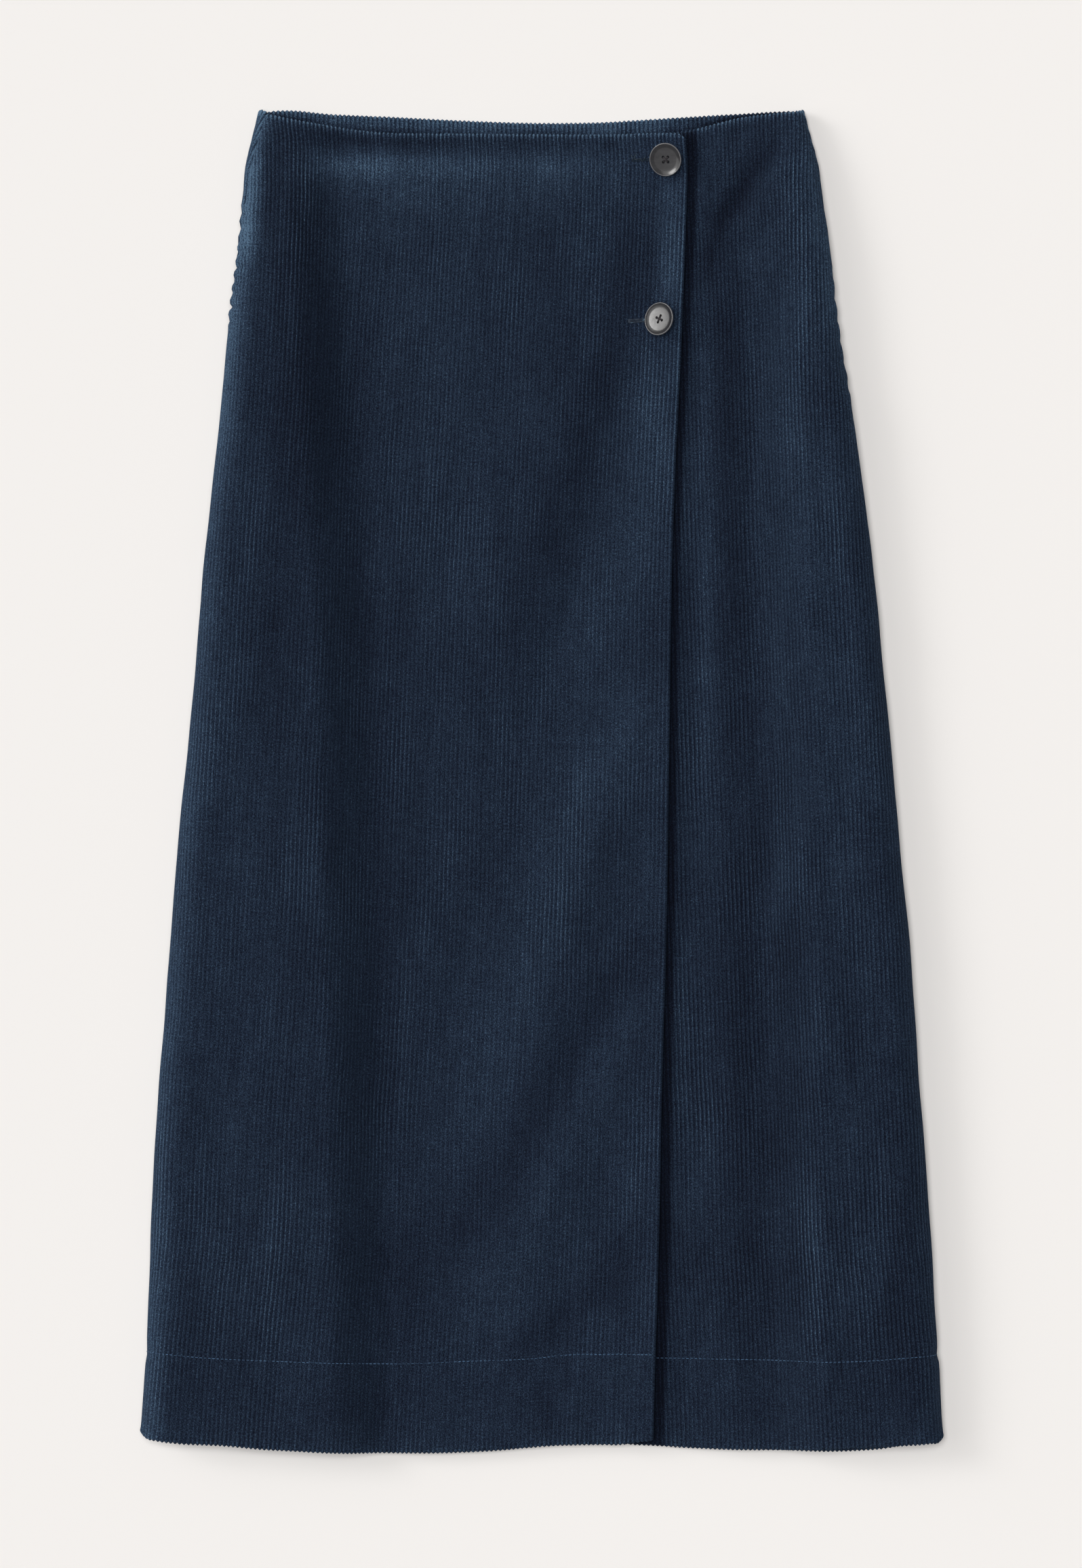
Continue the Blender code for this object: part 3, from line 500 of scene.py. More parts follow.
def waves(rows, x, y):
    """Sum of a table's waves; across and along are their lengths."""
    total = np.zeros_like(x)
    for wave in rows:
        total += wave.height * np.sin(math.tau * (x / wave.across + y / wave.along) + wave.phase)
    return total


def wale_share(wale):
    """A fixed number from -1 to 1 for each wale, which looks random."""
    value = np.sin(np.floor(wale) * 12.9898 + 78.233) * 43758.5453
    return 2.0 * (value - np.floor(value)) - 1.0


# Where the hem is stitched: one row over each front panel
OVER_STITCH = table("x y",
    (-254, -361), (-240.6, -362.1), (-219.1, -364.2), (-176.1, -366.4), (-133.1, -368.1), (-90.1, -369.4),
    (-47.1, -367.7), (-4.1, -365.9), (17.4, -363.8), (38.9, -363.4), (75, -363.4),
)
UNDER_STITCH = table("x y",
    (-80, -365), (81.9, -365.9), (125, -366.6), (210, -366.4), (232.4, -364.6), (254, -363),
)
BACK_STITCH_RISE = 55.0
over_stitch = line_of(OVER_STITCH, "y")
under_stitch = line_of(UNDER_STITCH, "y")


def back_stitch(x):
    return back_hem(x) + BACK_STITCH_RISE


def stitch_groove(x, y, line):
    """The groove along the hem stitching, deeper in places where the thread is tight."""
    away = y - line(x)
    tight = 1.0 + STITCH_TIGHT * np.sin(x / 9.0) * np.sin(x / 23.0 + 1.0)
    height, rise, reach = PUCKER
    pucker = height * np.exp(-((away - rise) / reach) ** 2) * np.sin(x / 5.5 + 2 * np.sin(x / 31.0))
    return -STITCH_DEPTH * tight * np.exp(-(away / STITCH_REACH) ** 2) + pucker


# Small bulges where the side seam draws in the wales that end there
SEAM_SCALLOPS = table("side top bottom pitch reach height",
    ("left", 376, 284, 8.4, 7, 2.2), ("right", 330, 236, 14.2, 6, 1.3),
)
SCALLOP_FADE = 12.0  # they fade out over this length
SCALLOP_MIDDLE = 0.45  # this much of a bulge lies inside the plain side


def scallops(x, y):
    total = np.zeros_like(x)
    for row in SEAM_SCALLOPS:
        inside = (smooth(row.bottom, row.bottom + SCALLOP_FADE, y)
                  * smooth(row.top, row.top - SCALLOP_FADE, y))
        near = np.exp(-((x - column(SECTIONS, row.side, y)) / row.reach) ** 2)
        bulge = np.abs(np.sin(math.pi * (y - row.bottom) / row.pitch)) ** 0.7
        total += row.height * (bulge - SCALLOP_MIDDLE) * inside * near
    return total


def hem_notch(x, y):
    """The hem stitching draws the sides in, and the doubled hem below it stands out."""
    side = np.minimum(np.abs(x - column(SECTIONS, "left", y)), np.abs(x - column(SECTIONS, "right", y)))
    away = y - HEM_LINE
    depth, reach = HEM_DRAWN_IN
    height, start, end = HEM_STANDS_OUT
    shape = -depth * np.exp(-(away / reach) ** 2) + height * smooth(start, end, away)
    return shape * np.exp(-(side / HEM_SIDE_REACH) ** 2)


def front_relief(x, y):
    return fold_height(x, y, CREASES) + waves(UNDULATION, x, y)


def over_relief(x, y):
    height, width = EDGE_RIDGE
    from_ridge = x - (free_edge(y) - EDGE_DEPTH)
    ridge = height * np.exp(-(from_ridge / width) ** 2) * smooth(*EDGE_RIDGE_FROM, y)
    return front_relief(x, y) + stitch_groove(x, y, over_stitch) + ridge


def under_relief(x, y):
    return front_relief(x, y) + stitch_groove(x, y, under_stitch)


def back_relief(x, y):
    return np.zeros_like(x)


# Cloth meshes ----------------------------------------------------------------------------------

# Ids of the points at a row's ends, below and above those of its wales
LOW_END = -10 ** 6
HIGH_END = 10 ** 6


class Skin:
    """Points, their places in the weave, and faces of one mesh."""

    def __init__(self):
        self.points, self.weave, self.nap, self.loft = [], [], [], []
        self.faces, self.count = [], 0

    def add(self, points, weave, nap, loft):
        self.points.append(points)
        self.weave.append(weave)
        self.nap.append(nap)
        self.loft.append(loft)
        first = self.count
        self.count += len(points)
        return np.arange(first, self.count)

    def fan(self, first, second, a, b):
        """Triangles between two lines of points that lie at places a and b along them."""
        i = j = 0
        while i < len(first) - 1 or j < len(second) - 1:
            if j == len(second) - 1 or (i < len(first) - 1 and a[i + 1] <= b[j + 1]):
                self.faces.append((first[i], first[i + 1], second[j]))
                i += 1
            else:
                self.faces.append((first[i], second[j + 1], second[j]))
                j += 1

    def zip(self, first, second):
        """Faces between two lines of points that run the same way."""
        place = np.concatenate(self.points)

        def shares(line):
            steps = np.linalg.norm(np.diff(place[line], axis=0), axis=1)
            return np.concatenate([[0.0], np.cumsum(steps)]) / max(steps.sum(), 1e-9)

        self.fan(first, second, shares(first), shares(second))

    def strip(self, upper, lower):
        """Faces between two rows, each given as ids and points; a point may lack its partner."""
        (upper_ids, upper_points), (lower_ids, lower_points) = upper, lower
        both = np.intersect1d(upper_ids, lower_ids)
        at_upper, at_lower = np.searchsorted(upper_ids, both), np.searchsorted(lower_ids, both)
        for k in range(len(both) - 1):
            top = upper_points[at_upper[k]:at_upper[k + 1] + 1]
            bottom = lower_points[at_lower[k]:at_lower[k + 1] + 1]
            if len(top) == 2 and len(bottom) == 2:
                self.faces.append((top[0], top[1], bottom[1], bottom[0]))
            else:
                self.fan(top, bottom, np.arange(len(top)) / (len(top) - 1),
                         np.arange(len(bottom)) / (len(bottom) - 1))

    def make(self, name, material):
        mesh = bpy.data.meshes.new(name)
        place = np.concatenate(self.points) * MM
        mesh.from_pydata(place.tolist(), [], [tuple(int(i) for i in face) for face in self.faces])
        builder = bmesh.new()
        builder.from_mesh(mesh)
        bmesh.ops.recalc_face_normals(builder, faces=builder.faces)
        if builder.calc_volume(signed=True) < 0:
            bmesh.ops.reverse_faces(builder, faces=builder.faces)
        builder.to_mesh(mesh)
        builder.free()
        weave = mesh.attributes.new("weave", "FLOAT_VECTOR", "POINT")
        weave.data.foreach_set("vector", np.concatenate(self.weave).astype(np.float32).ravel())
        for key, values in (("nap", self.nap), ("loft", self.loft)):
            attribute = mesh.attributes.new(key, "FLOAT", "POINT")
            attribute.data.foreach_set("value", np.concatenate(values).astype(np.float32))
        mesh.polygons.foreach_set("use_smooth", [True] * len(mesh.polygons))
        mesh.materials.append(material)
        return add_object(name, mesh)


def rounding(angle, turn):
    """How far out in y and x, and up, a point lies that is turned round one fold or both."""
    a, b = math.sin(angle), np.sin(turn)
    out_y, out_x = a * np.sqrt(1 - b * b / 2), b * math.sqrt(1 - a * a / 2)
    up = math.copysign(1.0, math.cos(angle)) * np.sqrt(np.clip(1.0 - out_y ** 2 - out_x ** 2, 0.0, 1.0))
    return out_y, out_x, up


def tangents(normals):
    return np.stack([normals[:, 2], np.zeros(len(normals)), -normals[:, 0]], 1)


def keep_all(ids, arcs, row):
    return np.ones(len(ids), bool)


def stand_free(height, arcs, points):
    return height


# fold holds the radii of the folded waist and hem, free that of the free edge; counts says how many
# steps the inner points have between the knots; dense is a part with closer rows and their distance
PANEL = namedtuple("PANEL", "name row_at relief start pitch wall_at knots counts fold free keeps raised "
                   "spacing front dense folded",
                   defaults=(0.0, keep_all, stand_free, ROW_STEP, False, None, (FOLDED_WAIST, FOLDED_HEM)))


class Panel(PANEL):
    """How one panel's cloth is laid out on its rows."""

    def radius(self, end):
        """Radius of the fold at an end, waist 1 or hem -1."""
        return self.fold[0 if end > 0 else 1] if end else 0.0

    def shares(self, length):
        """Places of the rows, from 0 at the waist to 1 at the hem."""
        inset = FOLD_INSET if self.front else 0.0
        low, high = (self.fold[0] + inset) / length, 1.0 - (self.fold[1] + inset) / length
        fine = np.array(END_STEPS) / length
        stops = [(low + fine[-1] * END_GAP, self.spacing), (high - fine[-1] * END_GAP, self.spacing)]
        if self.dense:
            start, end, step = self.dense
            stops[1:1] = [(start, step), (end, self.spacing)]
        middle = [stops[0][0]]
        for (start, step), (end, _) in zip(stops, stops[1:]):
            count = max(1, round((end - start) * length / step))
            middle.extend(np.linspace(start, end, count + 1)[1:])
        return np.concatenate([low + fine, middle, (high - fine)[::-1]])

    def layout(self, share, row):
        """Ids in quarter wales and arc lengths of a row's points."""
        step = self.pitch(share) / QUARTERS
        start = self.start(row)
        low = self.free + EDGE_MARGIN if self.free else SEAM_MARGIN
        ids = np.arange(math.ceil((low - start) / step),
                        math.floor((row.length - SEAM_MARGIN - start) / step) + 1)
        arcs = start + ids * step
        keep = self.keeps(ids, arcs, row)
        return ids[keep], arcs[keep]

    def outer_row(self, skin, share, length, angle, end):
        """A row of the outer surface. angle turns it round the fold at an end, waist 1 or hem -1."""
        row = self.row_at(share)
        ids, arcs = self.layout(share, row)
        along = share * length
        downs = np.full(len(arcs), along)
        from_seam = row.length - arcs if self.free else np.minimum(arcs, row.length - arcs)
        gain = PRESSED + UNEVEN * wale_share(ids / QUARTERS) + waves(PILE_WEAR, arcs, downs)
        gain *= 1.0 - HEM_CALM * smooth(length - HEM_DEPTH - HEM_CALM_RAMP, length - HEM_DEPTH, along)
        waist_gain, hem_gain = self.folded
        added = ((waist_gain - PRESSED) * math.exp(-along / FOLDED_REACH[0])
                 + (hem_gain - PRESSED * (1.0 - HEM_CALM)) * math.exp(-(length - along) / FOLDED_REACH[1]))
        shape = PROFILE[ids % QUARTERS] * gain + FOLDED_PROFILE[ids % QUARTERS] * added
        shape *= 1.0 - np.exp(-(from_seam / SEAM_SLOPE) ** 2)
        if self.free:
            shape *= smooth(0.2, self.free + WALE_PITCH * 0.5, arcs)
        sway = waves(WALE_SWAY, arcs, downs) * smooth(*SWAY_FROM, from_seam)
        place, normal = row.read(arcs + sway)
        free_height = WALE_HEIGHT * shape * (0.5 + 0.5 * self.loft(place))
        height = self.raised(free_height, arcs, place)
        offset = self.relief(*place[:, :2].T) * smooth(0.0, SEAM_CALM, from_seam)
        offset -= SEAM_DEPTH * np.clip(1.0 - from_seam / SEAM_REACH, 0.0, 1.0) ** 2

        low_angles = FREE_ANGLES if self.free else (0.0,)
        low = len(low_angles)  # points before the first wale
        end_place, end_normal = row.read(np.array([self.free] * low + [row.length]))
        end_offset = self.relief(*end_place[:, :2].T)
        end_offset[-1] = -SEAM_DEPTH
        if not self.free:
            end_offset[0] = -SEAM_DEPTH

        points, normals, offsets = (np.concatenate([ends[:low], middle, ends[low:]]) for ends, middle in (
            (end_place, place), (end_normal, normal), (end_offset, offset)))
        offsets += scallops(*points[:, :2].T) + hem_notch(*points[:, :2].T)
        raised, teeth = np.zeros(len(points)), np.zeros(len(points))
        if angle <= 90.0:
            raised[low:-1] = height
            if not self.front:  # what a flat edge keeps of its wales
                bare = np.maximum(smooth(*BARE_LEFT, place[:, 0]), smooth(*BARE_RIGHT, place[:, 0]))
                teeth[low:-1] = (free_height - height) * (bare if end > 0 else 1.0)
        turn = np.concatenate([np.radians(low_angles), np.zeros(len(ids) + 1)])
        all_ids = np.concatenate([LOW_END + np.arange(low), ids, [HIGH_END]])
        all_arcs = np.concatenate([np.zeros(low), arcs, [row.length]])
        points = self.bend(points, normals, offsets, raised, turn, math.radians(angle), end, teeth)
        beyond = end * -self.radius(end) * math.sin(math.radians(angle))
        weave = np.stack([(all_arcs - self.start(row)) / self.pitch(share),
                          np.full(len(all_ids), along) + beyond,
                          self.wear_and_highlight(share, all_arcs, row, length, angle if end > 0 else 0.0)], 1)
        return all_ids, skin.add(points, weave, self.nap(points), self.loft(points))

    def bend(self, points, normals, offsets, raised, turn, angle, end, teeth):
        """Points moved round the folds: turn at the free edge, angle at the waist or hem."""
        if not angle and not np.any(turn):
            return points + normals * (offsets + raised)[:, None]
        out_y, out_x, up = rounding(angle, turn)
        bend = np.where(turn > 0, self.free, self.radius(end))
        reach = bend + raised
        shifted = points + normals * (offsets - bend + reach * up)[:, None]
        shifted[:, 1] += end * (self.radius(end) + raised + teeth) * out_y
        return shifted + tangents(normals) * (reach * out_x)[:, None]

    def wear_and_highlight(self, share, arcs, row, length, angle):
        """How rubbed the pile is, and with it how strong the painted highlight on the wale tips: 1 on a fold
        or at an edge.
        """
        down = share * length
        (amount, reach), (side, side_reach) = WEAR_HIGHLIGHT_HEM, WEAR_HIGHLIGHT_SIDE
        edge = max(math.exp(-down / WEAR_HIGHLIGHT_WAIST), amount * math.exp(-(length - down) / reach),
                   float(np.interp(angle, *WAIST_RUBBED_HIGHLIGHT)))
        near = np.exp(-(row.length - arcs) / side_reach) * side
        least, more, free_reach = WEAR_HIGHLIGHT_FREE
        rubbed = least + more * smooth(*WEAR_HIGHLIGHT_FREE_TO, share)
        free = np.exp(-arcs / free_reach) * rubbed if self.free else np.exp(-arcs / side_reach) * side
        return np.clip(np.maximum(np.maximum(near, free), edge), 0.0, 1.0)

    def inner_row(self, skin, share, length, angle, end):
        """A row of the plain inner surface."""
        row = self.row_at(share)
        knots = self.knots(row)
        arcs = [max(knots[0], self.free)]
        for low, high, count in zip(knots, knots[1:], self.counts):
            arcs.extend(np.linspace(low, high, count + 1)[1:])
        turns = np.zeros(len(arcs))
        if self.free:
            arcs = [self.free] * len(INNER_FOLD_ANGLES) + arcs
            turns = np.concatenate([np.radians(INNER_FOLD_ANGLES[::-1]), turns])
        arcs = np.array(arcs)
        place, normal = row.read(arcs)
        offset = self.relief(*place[:, :2].T) * smooth(0.0, SEAM_CALM, row.length - arcs)
        if not self.free:
            offset *= smooth(0.0, SEAM_CALM, arcs)
        out_y, out_x, up = rounding(math.radians(angle), turns)
        bend = np.where(turns > 0, self.free, self.radius(end))
        depth = np.array([float(self.wall_at(share, arc)) for arc in arcs])
        points = place + normal * (offset - depth + bend * (1 - up))[:, None]
        points[:, 1] += end * self.radius(end) * out_y
        points = points + tangents(normal) * (bend * out_x)[:, None]
        weave = np.stack([(arcs - self.start(row)) / self.pitch(share),
                          np.full(len(arcs), share * length), np.zeros(len(arcs))], 1)
        return skin.add(points, weave, self.nap(points), self.loft(points))

    def loft(self, points):
        if not self.front:
            upper = smooth(*RIM_BACK_FROM, points[:, 1]) * smooth(*RIM_BACK_HEIGHT, points[:, 2])
            return 1.0 + RIM_BACK_LOFT * upper
        return np.clip(1.0 + fold_height(points[:, 0], points[:, 1], LOFT), *LOFT_RANGE)

    def nap(self, points):
        # Painted light and shade for each point, mixed with some rubbed or laid pile
        x, y = points[:, 0], points[:, 1]
        # On the facing: painted light and shade from left to right, and a painted shadow beside the front's
        # edge
        if self.name == "back_facing_cloth":
            edge = np.where(x < free_edge(y) + 1.0, over_waist(x), under_waist(x)) + DOUBLED / 2
            reach, tone = FACING_SHADE
            return (np.interp(x, [row.x for row in FACING_TONES], [row.tone for row in FACING_TONES])
                    + tone * np.exp(-(np.maximum(y - edge, 0.0) / reach) ** 2))
        # On the back: painted light on its strips at the sides, where they rise and face the light
        if not self.front:
            tone = np.where(x < 0, *RIM_BACK)
            return tone * smooth(*RIM_BACK_FROM, y) * smooth(*RIM_BACK_HEIGHT, points[:, 2])
        # On the front: the painted light and shade of the folds, and painted light along the sides that face
        # the light
        total = fold_height(x, y, NAP_AND_PAINTED_SHADING)
        for side, (reach, tone), start in (("left", RIM_LEFT, None),
                                           ("left", RIM_LEFT_HIP, RIM_LEFT_HIP_FROM),
                                           ("right", RIM_RIGHT, RIM_RIGHT_FROM)):
            rim = tone * np.exp(-((x - column(SECTIONS, side, y)) / reach) ** 2)
            total += rim * smooth(*start, y) if start else rim
        # painted shadow on the under-wrap beside the over-wrap's free edge
        if not self.free:
            reach, tone = column(UNDERLAP_SHADOW, "reach", y), column(UNDERLAP_SHADOW, "tone", y)
            total += tone * np.exp(-(np.maximum(x - free_edge(y), 0.0) / reach) ** 8)
        return total

    def build(self, material):
        skin = Skin()
        middle, top, bottom = self.row_at(0.5), self.row_at(0.0), self.row_at(1.0)
        top_y = (np.interp(middle.length / 2, middle.arc, top.y) if len(top.y) == len(middle.arc)
                 else top.y.mean())
        length = float(top_y - bottom.y.mean())
        shares = self.shares(length)

        def rows(make, angles):
            plan = ([(shares[0], angle, 1) for angle in angles[::-1]] + [(share, 0.0, 0) for share in shares]
                    + [(shares[-1], angle, -1) for angle in angles])
            return [make(skin, share, length, angle, end) for share, angle, end in plan]

        outer, inner = rows(self.outer_row, FOLD_ANGLES), rows(self.inner_row, INNER_FOLD_ANGLES)
        for upper, lower in zip(outer, outer[1:]):
            skin.strip(upper, lower)
        for upper, lower in zip(inner, inner[1:]):
            for i in range(len(upper) - 1):
                skin.faces.append((upper[i], upper[i + 1], lower[i + 1], lower[i]))
        for k in (0, -1):
            skin.zip(outer[k][1], inner[k])
        for k in (0, -1):
            skin.zip(np.array([points[k] for _, points in outer]), np.array([line[k] for line in inner]))
        return skin.make(self.name, material)


def front_knots(side):
    """Where the inner points of a front change their spacing: at its fall and its roll."""
    key = "fall_" + side_key(side)

    def knots(row):
        start = row.x[row.flat[1]]
        fall = float(column(SECTIONS, key, float(row.y[row.flat[1]])))
        outer = side * min(side * (fall + side * FALL_HALF), side * (start - side * 2))
        return [0.0, row.arc_at(fall - side * FALL_HALF - side * 4), row.arc_at(outer),
                row.arc_at(start), row.length]

    return knots


def flat_knots(row):
    return [0.0, row.arc[row.flat[0]], row.arc[row.flat[1]], row.length]


def spread_pitch(at_waist):
    """Pitch of wales that spread from the waist to the hem."""
    return lambda share: WALE_PITCH * (at_waist + (1 - at_waist) * share)


def over_cloth(material):
    return Panel("over_wrap_cloth", over_row, over_relief, lambda row: 0.0,
                 spread_pitch(PITCH_WAIST_OVER), wall, front_knots(-1), INNER_COUNTS["over"],
                 fold=(DOUBLED / 2, DOUBLED / 2), free=DOUBLED / 2, spacing=5.7, front=True,
                 dense=(0.052, 0.170, 2.25)).build(material)


def under_cloth(material):
    first = int((UNDER_WALES_FROM - UNDER_EDGE_HEM) / WALE_PITCH) * QUARTERS

    def keeps(ids, arcs, row):
        return (ids >= first) | (ids % (4 * QUARTERS) == 0)

    def raised(height, arcs, place):
        start = first / QUARTERS * WALE_PITCH
        return height * smooth(start - UNDER_WALES_RISE, start, arcs / PITCH_WAIST_UNDER)

    return Panel("under_wrap_cloth", under_row, under_relief, lambda row: 0.0,
                 spread_pitch(PITCH_WAIST_UNDER), lambda share, arc: wall(share, 1000.0), front_knots(1),
                 INNER_COUNTS["under"], fold=(DOUBLED / 2, DOUBLED / 2), keeps=keeps, raised=raised,
                 front=True, dense=(0.105, 0.228, 3.3)).build(material)


def back_cloth(material):
    def centre(row):
        nearest = int(np.argmin(np.abs(row.x)))
        return row.arc[nearest] - row.x[nearest]

    def keeps(ids, arcs, row):
        return (ids % 2 == 0) | (np.minimum(arcs, row.length - arcs) < BACK_FINE_REACH)

    def raised(height, arcs, place):
        """On the floor the crests lie at the section and the valleys above it."""
        pressed = 1.0 - np.clip(place[:, 2] / WALE_HEIGHT, 0.0, 1.0)
        return np.minimum(height - WALE_HEIGHT * VALLEY_LIFT * pressed, place[:, 2])

    return Panel("back_cloth", back_row, back_relief, centre, lambda share: WALE_PITCH,
                 lambda share, arc: thickness(hem_doubled(share)), flat_knots, INNER_COUNTS["back"],
                 fold=(CLOTH / 2, DOUBLED / 2), keeps=keeps, raised=raised).build(material)


def facing_cloth(material):
    return Panel("back_facing_cloth", facing_row, back_relief, lambda row: row.arc_at(0.0),
                 lambda share: WALE_PITCH, lambda share, arc: CLOTH, flat_knots, INNER_COUNTS["facing"],
                 fold=(CLOTH / 2, CLOTH / 2), spacing=6.0,
                 folded=(FOLDED_FACING, FOLDED_FACING)).build(material)


# Materials -------------------------------------------------------------------------------------

class Tree:
    """A material's nodes, with short calls for the ones used here."""

    def __init__(self, name):
        self.material = bpy.data.materials.new(name)
        self.material.use_nodes = True
        self.nodes, self.links = self.material.node_tree.nodes, self.material.node_tree.links
        self.shader = self.nodes["Principled BSDF"]

    def put(self, socket, value):
        if isinstance(value, bpy.types.NodeSocket):
            self.links.new(value, socket)
        else:
            socket.default_value = value

    def attribute(self, key):
        node = self.nodes.new("ShaderNodeAttribute")
        node.attribute_name = key
        return node

    def math(self, operation, first, second=0.0, third=0.0):
        node = self.nodes.new("ShaderNodeMath")
        node.operation = operation
        for socket, value in zip(node.inputs, (first, second, third)):
            self.put(socket, value)
        return node.outputs["Value"]

    def join(self, x, y, z=0.0):
        node = self.nodes.new("ShaderNodeCombineXYZ")
        for socket, value in zip(node.inputs, (x, y, z)):
            self.put(socket, value)
        return node.outputs["Vector"]

    def noise(self, x, y, seed, detail=2.0, roughness=0.5):
        """Noise from -1 to 1, about."""
        node = self.nodes.new("ShaderNodeTexNoise")
        self.put(node.inputs["Vector"], self.join(x, y, seed))
        node.inputs["Scale"].default_value = 1.0
        node.inputs["Detail"].default_value = detail
        node.inputs["Roughness"].default_value = roughness
        return self.math("MULTIPLY_ADD", node.outputs["Fac"], 3.0, -1.5)

    def spread(self, value, low, high, to_low=0.0, to_high=1.0):
        node = self.nodes.new("ShaderNodeMapRange")
        node.interpolation_type = "SMOOTHSTEP"
        for key, number in (("From Min", low), ("From Max", high), ("To Min", to_low), ("To Max", to_high)):
            self.put(node.inputs[key], number)
        self.put(node.inputs["Value"], value)
        return node.outputs["Result"]

    def ramp(self, value, stops):
        node = self.nodes.new("ShaderNodeValToRGB")
        elements = node.color_ramp.elements
        while len(elements) < len(stops):
            elements.new(0.5)
        for element, (position, colour) in zip(elements, stops):
            element.position, element.color = position, (*colour, 1.0)
        self.put(node.inputs["Fac"], value)
        return node.outputs["Color"]

    def mix(self, factor, first, second):
        node = self.nodes.new("ShaderNodeMix")
        node.data_type = "RGBA"
        self.put(node.inputs["Factor"], factor)
        colours = [socket for socket in node.inputs if socket.type == "RGBA"]
        for socket, value in zip(colours, (first, second)):
            self.put(socket, value if isinstance(value, bpy.types.NodeSocket) else (*value, 1.0))
        return [socket for socket in node.outputs if socket.type == "RGBA"][0]

    def place(self, keys):
        """Coordinates in the object, in mm."""
        place = self.nodes.new("ShaderNodeTexCoord")
        parts = self.nodes.new("ShaderNodeSeparateXYZ")
        self.links.new(place.outputs["Object"], parts.inputs["Vector"])
        return (self.math("MULTIPLY", parts.outputs[key], 1000.0) for key in keys)

    def bump(self, height, distance, strength=1.0):
        node = self.nodes.new("ShaderNodeBump")
        node.inputs["Distance"].default_value = distance
        node.inputs["Strength"].default_value = strength
        self.put(node.inputs["Height"], height)
        self.put(self.shader.inputs["Normal"], node.outputs["Normal"])


NAVY = [
    (0.0, (0.0036, 0.0043, 0.0082)), (0.30, (0.0070, 0.0104, 0.0210)),
    (0.55, (0.0154, 0.0252, 0.0455)), (0.78, (0.0330, 0.0565, 0.0960)),
    (1.0, (0.0850, 0.1480, 0.2250)),
]


def corduroy_material(name, lightness=0.0, depth=0.0, tip_tone=0.55):
    """Napped wales, with painted shade in the valleys between them and a painted highlight along one
    flank of each crest.  The tone is lighter where the pile is rubbed, with a painted highlight on the
    wale tips there, and it takes the painted light and shade of the nap attribute.
    lightness paints the whole cloth lighter, depth deepens the painted shade in the valleys, and
    tip_tone sets the strength of the painted highlight on the wale tips.
    """
    tree = Tree(name)
    weave = tree.attribute("weave")
    parts = tree.nodes.new("ShaderNodeSeparateXYZ")
    tree.links.new(weave.outputs["Vector"], parts.inputs["Vector"])
    wale, along, wear_and_highlight = (parts.outputs[key] for key in "XYZ")
    across = tree.math("MULTIPLY", wale, WALE_PITCH)
    nap, loft = (tree.attribute(key) for key in ("nap", "loft"))

    def cloth_noise(width, length, seed, **options):
        return tree.noise(tree.math("DIVIDE", across, width), tree.math("DIVIDE", along, length),
                          seed, **options)

    def peak(at, power):
        """1 along one line of every wale, at a share of its width, and near 0 beside it."""
        turned = tree.math("COSINE", tree.math("ADD", phase, -math.tau * at))
        return tree.math("POWER", tree.math("MULTIPLY_ADD", turned, 0.5, 0.5), power)

    swing = tree.math("MULTIPLY", cloth_noise(6.0, 14.0, 1.0), 0.09)
    phase = tree.math("MULTIPLY", tree.math("ADD", wale, swing), math.tau)

    patch = cloth_noise(46.0, 90.0, 2.0)  # where the nap lies another way
    mottle = cloth_noise(9.0, 14.0, 3.0, detail=3.0)
    blotch = cloth_noise(3.4, 4.6, 9.0, detail=2.0)
    streak = cloth_noise(2.2, 90.0, 4.0)  # one wale paler than the next
    thin_streak = cloth_noise(0.9, 24.0, 10.0)
    fibre = cloth_noise(0.80, 1.20, 5.0, detail=1.0)
    fleck = cloth_noise(0.42, 0.55, 6.0, detail=0.0)

    # Painted highlights along one flank of the crests, and painted shade in the valleys on top of their
    # darker ground, each come and go in patches
    highlit_here = tree.spread(cloth_noise(26.0, 110.0, 8.0), -0.45, 0.85, 0.05, 1.0)
    open_here = tree.spread(cloth_noise(24.0, 50.0, 7.0), -0.80, 0.70, 0.20, 0.95)
    calm = tree.math("MULTIPLY", loft.outputs["Fac"],
                     tree.spread(along, LENGTH - HEM_DEPTH - 4.0, LENGTH - HEM_DEPTH + 4.0, 1.0, 0.70))
    # line is a painted highlight along one flank of each crest, valley a painted shade in each valley
    line = tree.math("MULTIPLY", tree.math("MULTIPLY", peak(0.60, 7.0), highlit_here), calm)
    valley = tree.math("MULTIPLY", tree.math("MULTIPLY", peak(0.0, 2.0), open_here), calm)

    # The painted light and shade of the nap attribute, and the painted lightening given by lightness
    tone = tree.math("MULTIPLY_ADD", nap.outputs["Fac"], 0.110, 0.484 + lightness)
    for value, amount in ((patch, 0.028), (mottle, 0.055), (blotch, 0.085), (streak, 0.046),
                          (thin_streak, 0.048), (fibre, 0.275), (fleck, 0.240), (line, 0.26),
                          (valley, -0.19 - depth)):
        tone = tree.math("MULTIPLY_ADD", value, amount, tone)
    # Rubbed pile with a painted highlight on the wale tips at folds and edges
    tips = tree.math("MULTIPLY", wear_and_highlight, tree.math("MULTIPLY_ADD", peak(0.5, 1.0), tip_tone, 0.02))
    tone = tree.math("ADD", tone, tips)
    tree.put(tree.shader.inputs["Base Color"], tree.ramp(tone, NAVY))

    tree.shader.inputs["Roughness"].default_value = 0.95
    tree.shader.inputs["Specular IOR Level"].default_value = 0.06
    tree.shader.inputs["Sheen Weight"].default_value = 0.10
    tree.shader.inputs["Sheen Roughness"].default_value = 0.45
    tree.shader.inputs["Sheen Tint"].default_value = (0.35, 0.60, 1.0, 1.0)
    tree.bump(tree.math("MULTIPLY_ADD", fleck, 0.5, fibre), 0.00030)
    return tree.material


